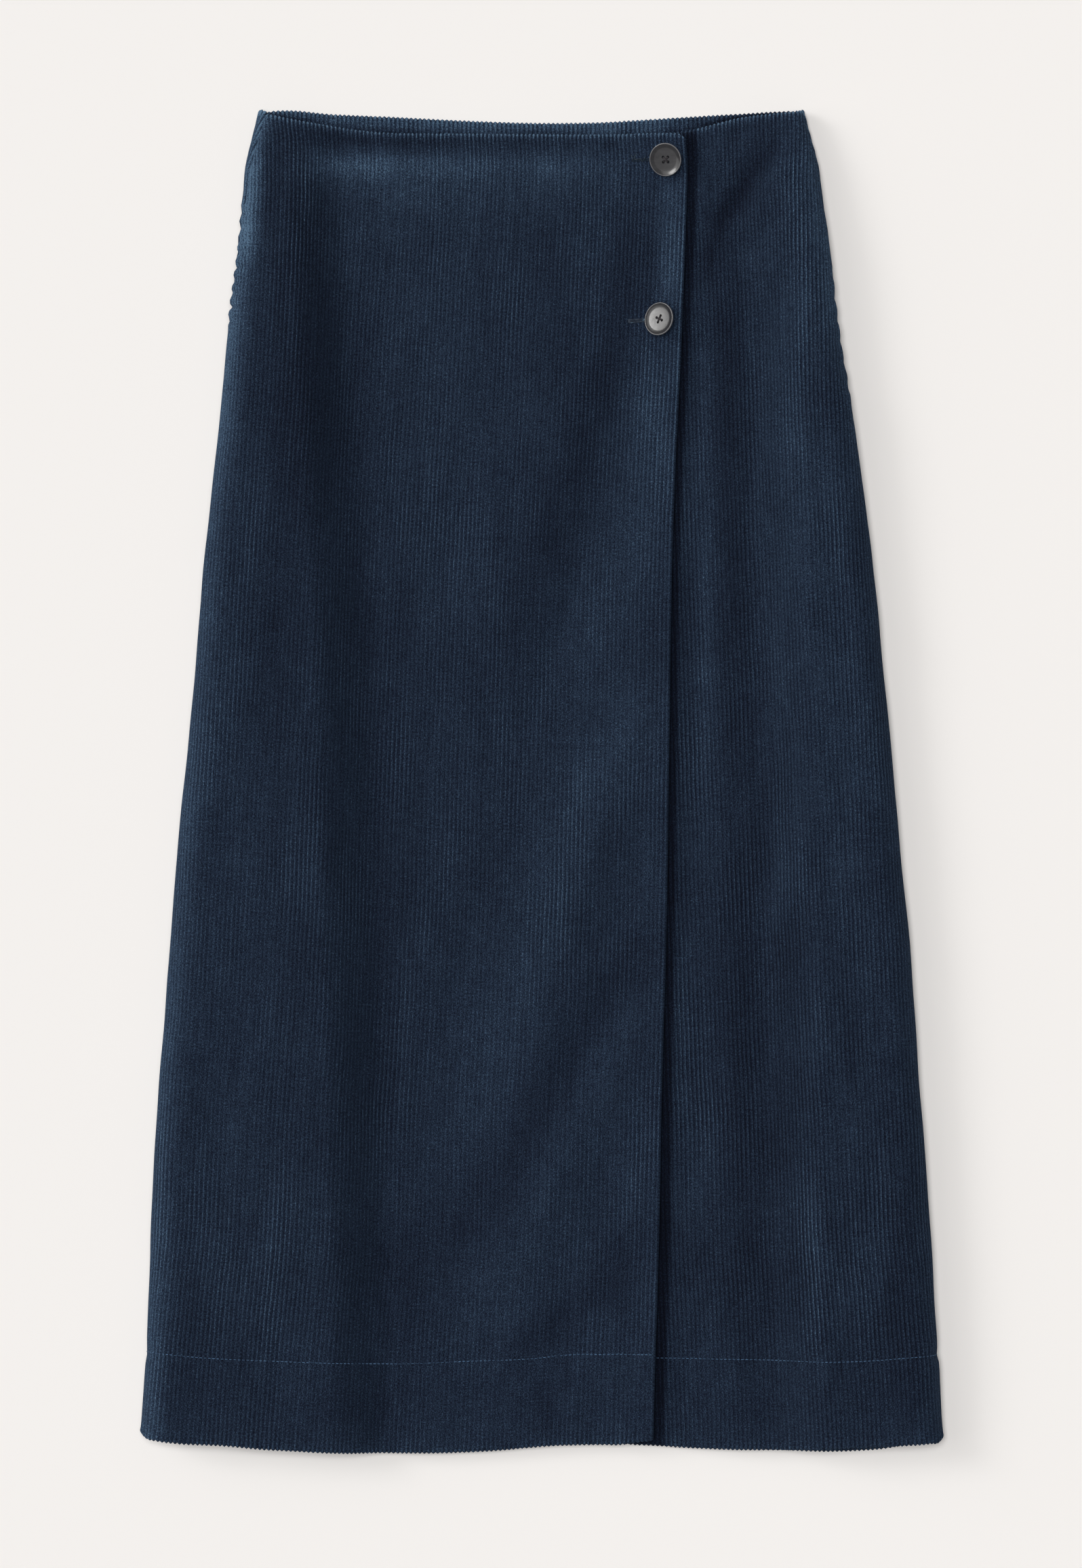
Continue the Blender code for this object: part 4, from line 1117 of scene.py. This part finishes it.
def thread_material(name, dark, pale, size):
    """Sewing thread that is darker and paler along its length."""
    tree = Tree(name)
    x, y, z = tree.place("XYZ")
    cloud = tree.noise(tree.math("DIVIDE", x, size), tree.math("DIVIDE", y, size), 1.0, detail=3.0)
    ply = tree.math("SINE", tree.math("MULTIPLY", tree.math("ADD", tree.math("ADD", x, y), z), 15.0))
    tone = tree.math("MULTIPLY_ADD", ply, 0.12, tree.math("MULTIPLY_ADD", cloud, 0.75, 0.45))
    tree.put(tree.shader.inputs["Base Color"], tree.ramp(tone, [(0.0, dark), (1.0, pale)]))
    tree.shader.inputs["Roughness"].default_value = 0.6
    tree.shader.inputs["Specular IOR Level"].default_value = 0.3
    tree.bump(ply, 0.00004)
    return tree.material


cloths = {}
corduroy = corduroy_material("navy_corduroy")
# The facing's copy of the corduroy is painted lighter, as a part that lies in the light, with deeper painted
# shade in its valleys and weaker painted tip highlights
facing_corduroy = corduroy_material("navy_corduroy_facing", 0.185, 0.10, tip_tone=0.20)
cloths["front_over_wrap"] = over_cloth(corduroy)
# The under-wrap's copy has deeper painted shade in its valleys
cloths["front_under_wrap"] = under_cloth(corduroy_material("navy_corduroy_under_painted_shade", 0.0, 0.08))
cloths["back_panel"] = back_cloth(corduroy)
cloths["back_waist_facing"] = facing_cloth(facing_corduroy)

# Each cloth's flat sizes in metres, and what it lies on
CUTS = table("node slot width length area rests_on",
    ("front_over_wrap", "corduroy", 0.346, 0.835, 0.272, ["front_under_wrap", "back_panel"]),
    ("front_under_wrap", "corduroy", 0.347, 0.834, 0.2635, ["back_panel"]),
    ("back_panel", "corduroy", 0.495, 0.842, 0.371, []),
    ("back_waist_facing", "corduroy_inside", 0.362, 0.050, None, ["back_panel"]),
)
for cut in CUTS:
    cloth = cloths[cut.node]
    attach(cloth, BODY)
    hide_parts(cut.node)
    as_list(cut.rests_on)

# Thread ----------------------------------------------------------------------------------------

THREAD_SIDES = 6
TIP_SHARE = 0.7  # how thick and how long a thread's rounded end is


class Threads:
    """Many short lengths of thread in one mesh, each a closed tube with rounded ends."""

    def __init__(self):
        self.builder = bmesh.new()

    def lay(self, path, radius):
        """A tube along a smooth line through points in mm."""
        path = [Vector(point) for point in path]
        runs = [(path[min(i + 1, len(path) - 1)] - path[max(i - 1, 0)]).normalized()
                for i in range(len(path))]
        side = runs[0].orthogonal().normalized()
        first = path[0] - runs[0] * radius * TIP_SHARE
        last = path[-1] + runs[-1] * radius * TIP_SHARE
        rings = []
        for i, (point, tangent) in enumerate(zip(path, runs)):
            side = (side - tangent * side.dot(tangent)).normalized()
            other = tangent.cross(side)
            size = radius * (TIP_SHARE if i in (0, len(path) - 1) else 1.0)
            turns = [math.tau * k / THREAD_SIDES for k in range(THREAD_SIDES)]
            rings.append([self.builder.verts.new(
                (point + (side * math.cos(a) + other * math.sin(a)) * size) * MM) for a in turns])
        for one, two in zip(rings, rings[1:]):
            for k in range(THREAD_SIDES):
                n = (k + 1) % THREAD_SIDES
                self.builder.faces.new((one[k], one[n], two[n], two[k]))
        for tip, ring, order in ((first, rings[0], -1), (last, rings[-1], 1)):
            end = self.builder.verts.new(tip * MM)
            for k in range(THREAD_SIDES):
                self.builder.faces.new((end, *[ring[k], ring[(k + 1) % THREAD_SIDES]][::order]))

    def make(self, name, material, slot):
        mesh = bpy.data.meshes.new(name)
        bmesh.ops.recalc_face_normals(self.builder, faces=self.builder.faces)
        self.builder.to_mesh(mesh)
        self.builder.free()
        mesh.shade_smooth()
        mesh.materials.append(material)
        piece = add_object(name, mesh)
        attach(piece, BODY)


NEEDLE_REACH = 9.0
ABOVE_ALL = 35.0  # no cloth lies as high as this


class Surface:
    """Where a cloth's outer surface lies."""

    def __init__(self, cloth):
        bpy.context.view_layer.update()
        self.tree = BVHTree.FromObject(cloth, bpy.context.evaluated_depsgraph_get())

    def under(self, place, normal):
        """The point that a needle pushed in along the normal meets first."""
        place, normal = Vector(place), Vector(normal)
        hit = self.tree.ray_cast((place + normal * NEEDLE_REACH) * MM, -normal)[0]
        return hit / MM if hit else place

    def height(self, x, y):
        return self.under((x, y, ABOVE_ALL), (0.0, 0.0, 1.0)).z


STITCH_PITCH = 2.7
STITCH_LENGTH = 1.95
STITCH_RADIUS = 0.23
STITCH_SINK = 0.36  # how deep a stitch's ends go into the cloth
STITCH_RISE = 0.20  # how high its middle stands
STITCH_DRAWN_IN = 0.26  # and how much lower where the thread is tight
STITCHED_SHARE = 0.93  # about where the stitching runs, from waist to hem


def hem_stitches(name, surface, row_at, waist, hem, line, margins, floor=None):
    """A row of machine stitches along a line of the panel, from one edge to the other."""
    threads = Threads()
    rows = {}

    def place(arc, x):
        share = round(float((waist(x) - line(x)) / (waist(x) - hem(x))), 3)
        if share not in rows:
            rows[share] = row_at(share)
        point, normal = rows[share].read(np.array([arc]))
        point[0, 1] = line(point[0, 0])
        return point[0], normal[0], rows[share]

    _, _, row = place(margins[0], row_at(STITCHED_SHARE).x[0])
    count = int((row.length - margins[0] - margins[1]) / STITCH_PITCH)
    x = row.x[0]
    for index in range(count):
        drawn_in = 0.5 + 0.5 * math.sin(index * 1.9 + 3.0 * math.sin(index * 0.37))
        centre = margins[0] + (index + 0.5) * STITCH_PITCH
        path = []
        for step in (-1.0, -0.62, -0.2, 0.2, 0.62, 1.0):
            point, normal, row = place(centre + step * STITCH_LENGTH / 2, x)
            x = point[0]
            top = surface.under(point, normal)
            rise = (STITCH_RISE - STITCH_DRAWN_IN * drawn_in) * (1 - step * step)
            rise -= STITCH_SINK * max(0.0, abs(step) - 0.6) / 0.4
            spot = top + Vector(normal) * rise
            if floor is not None:
                spot.z = max(spot.z, floor)
            path.append(spot)
        threads.lay(path, STITCH_RADIUS)
    threads.make(name, hem_thread, "corduroy")


hem_thread = thread_material("hem_thread", (0.014, 0.028, 0.056), (0.125, 0.235, 0.400), 6.0)
surfaces = {node: Surface(cloth) for node, cloth in cloths.items()}
hem_stitches("hem_stitches_over", surfaces["front_over_wrap"], over_row, over_waist, over_hem,
             over_stitch, (1.6, 0.8))
hem_stitches("hem_stitches_under", surfaces["front_under_wrap"], under_row, under_waist, under_hem,
             under_stitch, (1.6, 0.8))
hem_stitches("hem_stitches_back", surfaces["back_panel"], back_row, back_waist, back_hem,
             back_stitch, (0.8, 0.8), floor=STITCH_RADIUS)

# Buttonholes, each worked across the wales and ending below its button
HOLE_STITCH_PITCH = 0.36
HOLE_STITCH_RADIUS = 0.17
BUTTONHOLES = table("name x0 y0 x1 y1 half dark pale",
    ("buttonhole_upper", 57.5, 394, 78, 394.9, 0.95, (0.008, 0.013, 0.024), (0.022, 0.038, 0.062)),
    ("buttonhole_lower", 55.2, 292.2, 75.6, 293.2, 1.25, (0.016, 0.022, 0.036), (0.062, 0.082, 0.115)),
)
over_surface = surfaces["front_over_wrap"]


def work_buttonhole(hole):
    """Two rows of close stitches beside the slit, and a bar across each end."""
    threads = Threads()
    run = Vector((hole.x1 - hole.x0, hole.y1 - hole.y0, 0.0))
    size = run.length
    run.normalize()
    across = Vector((-run.y, run.x, 0.0))

    def stitch(centre, direction, half, rise):
        path = []
        for step in (-1.0, -0.5, 0.0, 0.5, 1.0):
            spot = centre + direction * (step * half)
            spot.z = over_surface.height(spot.x, spot.y) + rise * (1 - 1.6 * step * step)
            path.append(spot)
        top = sum(p.z for p in path) / 5
        for spot in path[1:-1]:
            spot.z = max(spot.z, top)
        threads.lay(path, HOLE_STITCH_RADIUS)

    count = int(size / HOLE_STITCH_PITCH)
    for index in range(count):
        along = (index + 0.5) * HOLE_STITCH_PITCH
        start = Vector((hole.x0, hole.y0, 0.0)) + run * along
        uneven = 0.10 * math.sin(index * 2.4) + 0.05 * math.sin(index * 5.1)
        for side in (-1, 1):
            stitch(start + across * side * (hole.half / 2 + 0.06), across + run * 0.10 * side,
                   hole.half / 2 * (1 + uneven * side), 0.20)
    for end in (0.0, size):
        for step in (-0.45, -0.15, 0.15, 0.45):
            spot = Vector((hole.x0, hole.y0, 0.0)) + run * (end + step)
            stitch(spot, across, hole.half, 0.38)
    threads.make(hole.name, thread_material(hole.name + "_thread", hole.dark, hole.pale, 1.6),
                 "corduroy")


for hole in BUTTONHOLES:
    work_buttonhole(hole)

# Loose ends of thread at the buttonholes: radius, then x, y and rise over the cloth
LOOSE_ENDS = {
    "upper": [
        (0.17, [(56.4, 397.6, 0.1), (56.9, 396.5, 0.5), (57.4, 395.2, 0.6), (58.0, 393.8, 0.1)]),
        (0.15, [(60.0, 398.2, 0.1), (59.0, 397.0, 0.7), (58.5, 395.7, 0.9), (59.0, 394.4, 0.7),
                (60.2, 394.6, 0.5), (61.4, 395.0, 0.6), (62.6, 394.6, 0.6), (63.5, 393.4, 0.4),
                (63.9, 392.3, 0.0)]),
        (0.18, [(65.4, 396.3, 0.0), (65.1, 395.6, 0.5), (64.7, 394.7, 0.5), (64.2, 393.8, 0.1)]),
    ],
    "lower": [
        (0.26, [(63.9, 292.2, 0.2), (64.4, 292.7, 0.7), (65.0, 293.3, 0.9), (65.8, 293.6, 0.4)]),
        (0.20, [(64.3, 293.7, 0.2), (64.8, 293.0, 0.8), (65.4, 292.5, 0.7), (66.0, 292.4, 0.2)]),
        (0.16, [(56.2, 291.4, 0.2), (57.0, 291.2, 0.5), (57.9, 291.3, 0.2)]),
    ],
}
LOOSE_TONES = {"upper": ((0.022, 0.034, 0.045), (0.075, 0.100, 0.120)),
               "lower": ((0.060, 0.100, 0.140), (0.180, 0.300, 0.420))}
for place, ends in LOOSE_ENDS.items():
    loose = Threads()
    for radius, points in ends:
        loose.lay([(x, y, over_surface.height(x, y) + rise) for x, y, rise in points], radius)
    loose.make("loose_thread_" + place, thread_material("loose_thread_" + place, *LOOSE_TONES[place], 3.0),
               "corduroy")

# Buttons ---------------------------------------------------------------------------------------

BUTTON_RADIUS = 10.6
HOLE_RADIUS = 0.9
HOLE_SPACING = 3.1
DISH_HEIGHT = 2.05
BUTTON_STEPS = 96
HOLE_STEPS = 28
DRILL_LENGTH = 8.0
WELD = 1e-5  # metres
SHARP_ANGLE = 38.0  # edges from this angle on look sharp
BUTTONS = table("name x y tilt towards turn",
    ("button_upper", 78.9, 394.4, 21, 205, 2),
    ("button_lower", 75.4, 293, 34, 168, 20),
)

# Half section, from the middle of the dish over the narrow lip and under to the back
BUTTON_PROFILE = table("radius height",
    (0, DISH_HEIGHT), (4, 2.06), (7, 2.09), (7.6, 2.12), (7.8, 2.16), (8.5, 2.35), (9.2, 2.57),
    (9.8, 2.82), (10.02, 2.93), (10.2, 2.95), (10.4, 2.86), (10.55, 2.66), (BUTTON_RADIUS, 2.4),
    (10.5, 2), (10.1, 1.3), (9.2, 0.72), (8, 0.36), (6.5, 0.1), (5, 0), (0, 0),
)
RING_RADIUS = (7.5, 7.8)  # where the darker ring round the dish begins
LIP_RADIUS = (9.85, 10.05)  # where the lip begins, which is painted paler as a highlight
BACK_POINTS = BUTTON_PROFILE[10:]


def button_tilt(button):
    lean = Vector((math.cos(math.radians(button.towards)), math.sin(math.radians(button.towards)), 0))
    axis = Vector((0, 0, 1)).cross(lean)
    return Matrix.Rotation(math.radians(button.tilt), 4, axis) @ Matrix.Rotation(
        math.radians(button.turn), 4, "Z")


def button_place(button):
    """Lowest place where the tilted button clears the wales below it."""
    turned = button_tilt(button)
    lift = 0.0
    for point in BACK_POINTS:
        for step in range(36):
            angle = math.radians(10 * step)
            rim = turned @ Vector((point.radius * math.cos(angle), point.radius * math.sin(angle),
                                   point.height))
            cloth = over_height(np.array([button.x + rim.x]), np.array([button.y + rim.y]))[0]
            lift = max(lift, float(cloth) + WALE_HEIGHT + LAYER_GAP - rim.z)
    return Vector((button.x, button.y, lift)) * MM


def turned_shape(name, profile, steps, holes, material):
    """A lathed shape, mm profile, with round holes drilled along its axis."""
    mesh = bpy.data.meshes.new(name)
    mesh.from_pydata([(p.radius * MM, 0.0, p.height * MM) for p in profile],
                     [(i, i + 1) for i in range(len(profile) - 1)], [])
    mesh.materials.append(material)
    piece = add_object(name, mesh)
    screw = piece.modifiers.new("turn", "SCREW")
    screw.angle = math.tau
    screw.steps = screw.render_steps = steps
    screw.use_merge_vertices = True
    screw.merge_threshold = WELD
    cutters = bmesh.new()
    for x, y in holes:
        bmesh.ops.create_cone(cutters, cap_ends=True, segments=HOLE_STEPS, radius1=HOLE_RADIUS * MM,
                              radius2=HOLE_RADIUS * MM, depth=DRILL_LENGTH * MM,
                              matrix=Matrix.Translation(Vector((x, y, 1.0)) * MM))
    cutter_mesh = bpy.data.meshes.new(name + "_holes")
    cutters.to_mesh(cutter_mesh)
    cutters.free()
    cutter = add_object(name + "_holes", cutter_mesh)
    drill = piece.modifiers.new("holes", "BOOLEAN")
    drill.object = cutter
    bpy.context.view_layer.update()
    shape = bpy.data.meshes.new_from_object(piece.evaluated_get(bpy.context.evaluated_depsgraph_get()))
    piece.modifiers.clear()
    piece.data = shape
    bpy.data.objects.remove(cutter)
    shape.shade_smooth()
    shape.set_sharp_from_angle(angle=math.radians(SHARP_ANGLE))
    return piece


def button_material():
    tree = Tree("charcoal_button")
    x, y = tree.place("XY")
    cloud = tree.noise(tree.math("DIVIDE", x, 7.0), tree.math("DIVIDE", y, 3.0), 1.0, detail=3.0)
    grain = tree.noise(tree.math("DIVIDE", x, 0.5), tree.math("DIVIDE", y, 0.5), 2.0)
    tone = tree.math("MULTIPLY_ADD", cloud, 0.16, tree.math("MULTIPLY_ADD", grain, 0.05, 0.45))
    radius = tree.math("SQRT", tree.math("MULTIPLY_ADD", x, x, tree.math("MULTIPLY", y, y)))
    tone = tree.math("MULTIPLY_ADD", tree.spread(radius, *RING_RADIUS), -0.22, tone)
    horn = tree.ramp(tone, [(0.0, (0.018, 0.018, 0.020)), (1.0, (0.066, 0.066, 0.070))])
    # The lip is painted paler: a painted highlight round the button's edge
    tree.put(tree.shader.inputs["Base Color"],
             tree.mix(tree.spread(radius, *LIP_RADIUS), horn, (0.110, 0.111, 0.117)))
    tree.shader.inputs["Roughness"].default_value = 0.20
    tree.shader.inputs["Specular IOR Level"].default_value = 0.75
    tree.bump(cloud, 0.00002)
    return tree.material


HOLES = [(sx * HOLE_SPACING / 2, sy * HOLE_SPACING / 2) for sx in (-1, 1) for sy in (-1, 1)]
THREAD_OFFSETS = (-0.34, 0.0, 0.34)
button_horn = button_material()
button_thread = thread_material("button_thread", (0.018, 0.016, 0.018), (0.062, 0.058, 0.064), 1.2)


def sew_on(button, turned, place):
    """A cross of thread over the dish, and the wrapped shank below the button."""
    threads = Threads()
    half = HOLE_SPACING / 2
    for direction, lift in (((1, 1), 0.0), ((1, -1), 0.22)):
        for offset in THREAD_OFFSETS:
            x, y = direction
            dx, dy = -y * offset / math.sqrt(2), x * offset / math.sqrt(2)
            path = [(x * half * out + dx * along, y * half * out + dy * along, z)
                    for out, along, z in ((-1.0, 0.6, 0.5), (-0.98, 1.0, DISH_HEIGHT + 0.02),
                                          (-0.55, 1.0, DISH_HEIGHT + 0.30 + lift),
                                          (0.0, 1.0, DISH_HEIGHT + 0.36 + lift),
                                          (0.55, 1.0, DISH_HEIGHT + 0.30 + lift),
                                          (0.98, 1.0, DISH_HEIGHT + 0.02), (1.0, 0.6, 0.5))]
            threads.lay([turned @ Vector(p) + place for p in path], 0.22)
    foot = Vector((place.x, place.y, over_surface.height(place.x, place.y) - 0.3))
    neck = turned @ Vector((0.0, 0.0, 0.2)) + place
    for x, y in HOLES:
        top = turned @ Vector((x, y, 1.0)) + place
        threads.lay([top, neck.lerp(top, 0.4), foot.lerp(neck, 0.5) + Vector((x, y, 0.0)) * 0.25,
                     foot + Vector((x, y, 0.0)) * 0.4], 0.3)
    wraps, steps = 6, 12
    coil = []
    for index in range(wraps * steps + 1):
        angle, share = math.tau * index / steps, index / (wraps * steps)
        coil.append(foot.lerp(neck, 0.12 + 0.8 * share)
                    + Vector((math.cos(angle), math.sin(angle), 0.0)) * (0.95 + 0.35 * abs(share - 0.5)))
    threads.lay(coil, 0.24)
    threads.make(button.name + "_thread", button_thread, "button")


for button in BUTTONS:
    disc = turned_shape(button.name + "_turned", BUTTON_PROFILE, BUTTON_STEPS, HOLES, button_horn)
    place, turned = button_place(button), button_tilt(button)
    disc.matrix_world = Matrix.Translation(place) @ turned
    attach(disc, BODY)
    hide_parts(button.name)
    sew_on(button, turned, place / MM)

# Stage -----------------------------------------------------------------------------------------

PHOTO_SCALE = 0.43  # millimetres to a pixel of the 1596 x 2313 frame
FRAME_HEIGHT = 2313 * PHOTO_SCALE
LENS, SENSOR = 220.0, 36.0
CAMERA_PLANE = 11.0  # height at which the scale holds
AIM = Vector((-0.65, -1.5, 0.0))

camera_data = bpy.data.cameras.new("camera")
camera_data.lens, camera_data.sensor_width = LENS, SENSOR
camera = add_object("camera", camera_data)
camera.location = (AIM + Vector((0.0, 0.0, FRAME_HEIGHT / SENSOR * LENS + CAMERA_PLANE))) * MM
bpy.context.scene.camera = camera


def sun(name, azimuth, elevation, spread, strength, colour, mirrored=True):
    """Light from one side of the studio. Azimuth is measured from +X towards +Y, in degrees."""
    data = bpy.data.lights.new(name, "SUN")
    data.angle, data.energy, data.color = math.radians(spread), strength, colour
    lamp = add_object(name, data)
    lamp.visible_glossy = mirrored
    a, e = math.radians(azimuth), math.radians(elevation)
    towards = Vector((math.cos(a) * math.cos(e), math.sin(a) * math.cos(e), math.sin(e)))
    lamp.rotation_euler = towards.to_track_quat("Z", "Y").to_euler()


sun("overhead", 140.0, 85.0, 26.0, 2.53, (1.0, 0.995, 0.99), mirrored=False)
sun("key", 164.0, 32.0, 56.0, 0.80, (1.0, 0.99, 0.975))
sun("key_core", 160.0, 31.0, 20.0, 0.70, (1.0, 0.99, 0.975))

world = bpy.data.worlds.new("studio")
world.use_nodes = True
background = world.node_tree.nodes["Background"]
background.inputs["Color"].default_value = (0.90, 0.88, 0.86, 1.0)
seen = world.node_tree.nodes.new("ShaderNodeLightPath")
level = world.node_tree.nodes.new("ShaderNodeMapRange")
level.inputs["To Min"].default_value, level.inputs["To Max"].default_value = 0.10, 1.0
world.node_tree.links.new(seen.outputs["Is Camera Ray"], level.inputs["Value"])
world.node_tree.links.new(level.outputs["Result"], background.inputs["Strength"])
bpy.context.scene.world = world
bpy.context.scene.view_settings.view_transform = "Standard"

FLOOR_HALF = 6.0
FLOOR_GAP = 0.0002  # metres from the level z = 0 down to the floor
floor_mesh = bpy.data.meshes.new("floor")
floor_mesh.from_pydata([(-FLOOR_HALF, -FLOOR_HALF, 0), (FLOOR_HALF, -FLOOR_HALF, 0),
                        (FLOOR_HALF, FLOOR_HALF, 0), (-FLOOR_HALF, FLOOR_HALF, 0)], [], [(0, 1, 2, 3)])
floor = add_object("floor", floor_mesh)
floor.location.z = -FLOOR_GAP
floor_material = bpy.data.materials.new("pale_floor")
floor_material.use_nodes = True
floor_shader = floor_material.node_tree.nodes["Principled BSDF"]
floor_shader.inputs["Base Color"].default_value = (0.806, 0.786, 0.770, 1.0)
floor_shader.inputs["Roughness"].default_value = 0.8
floor_mesh.materials.append(floor_material)
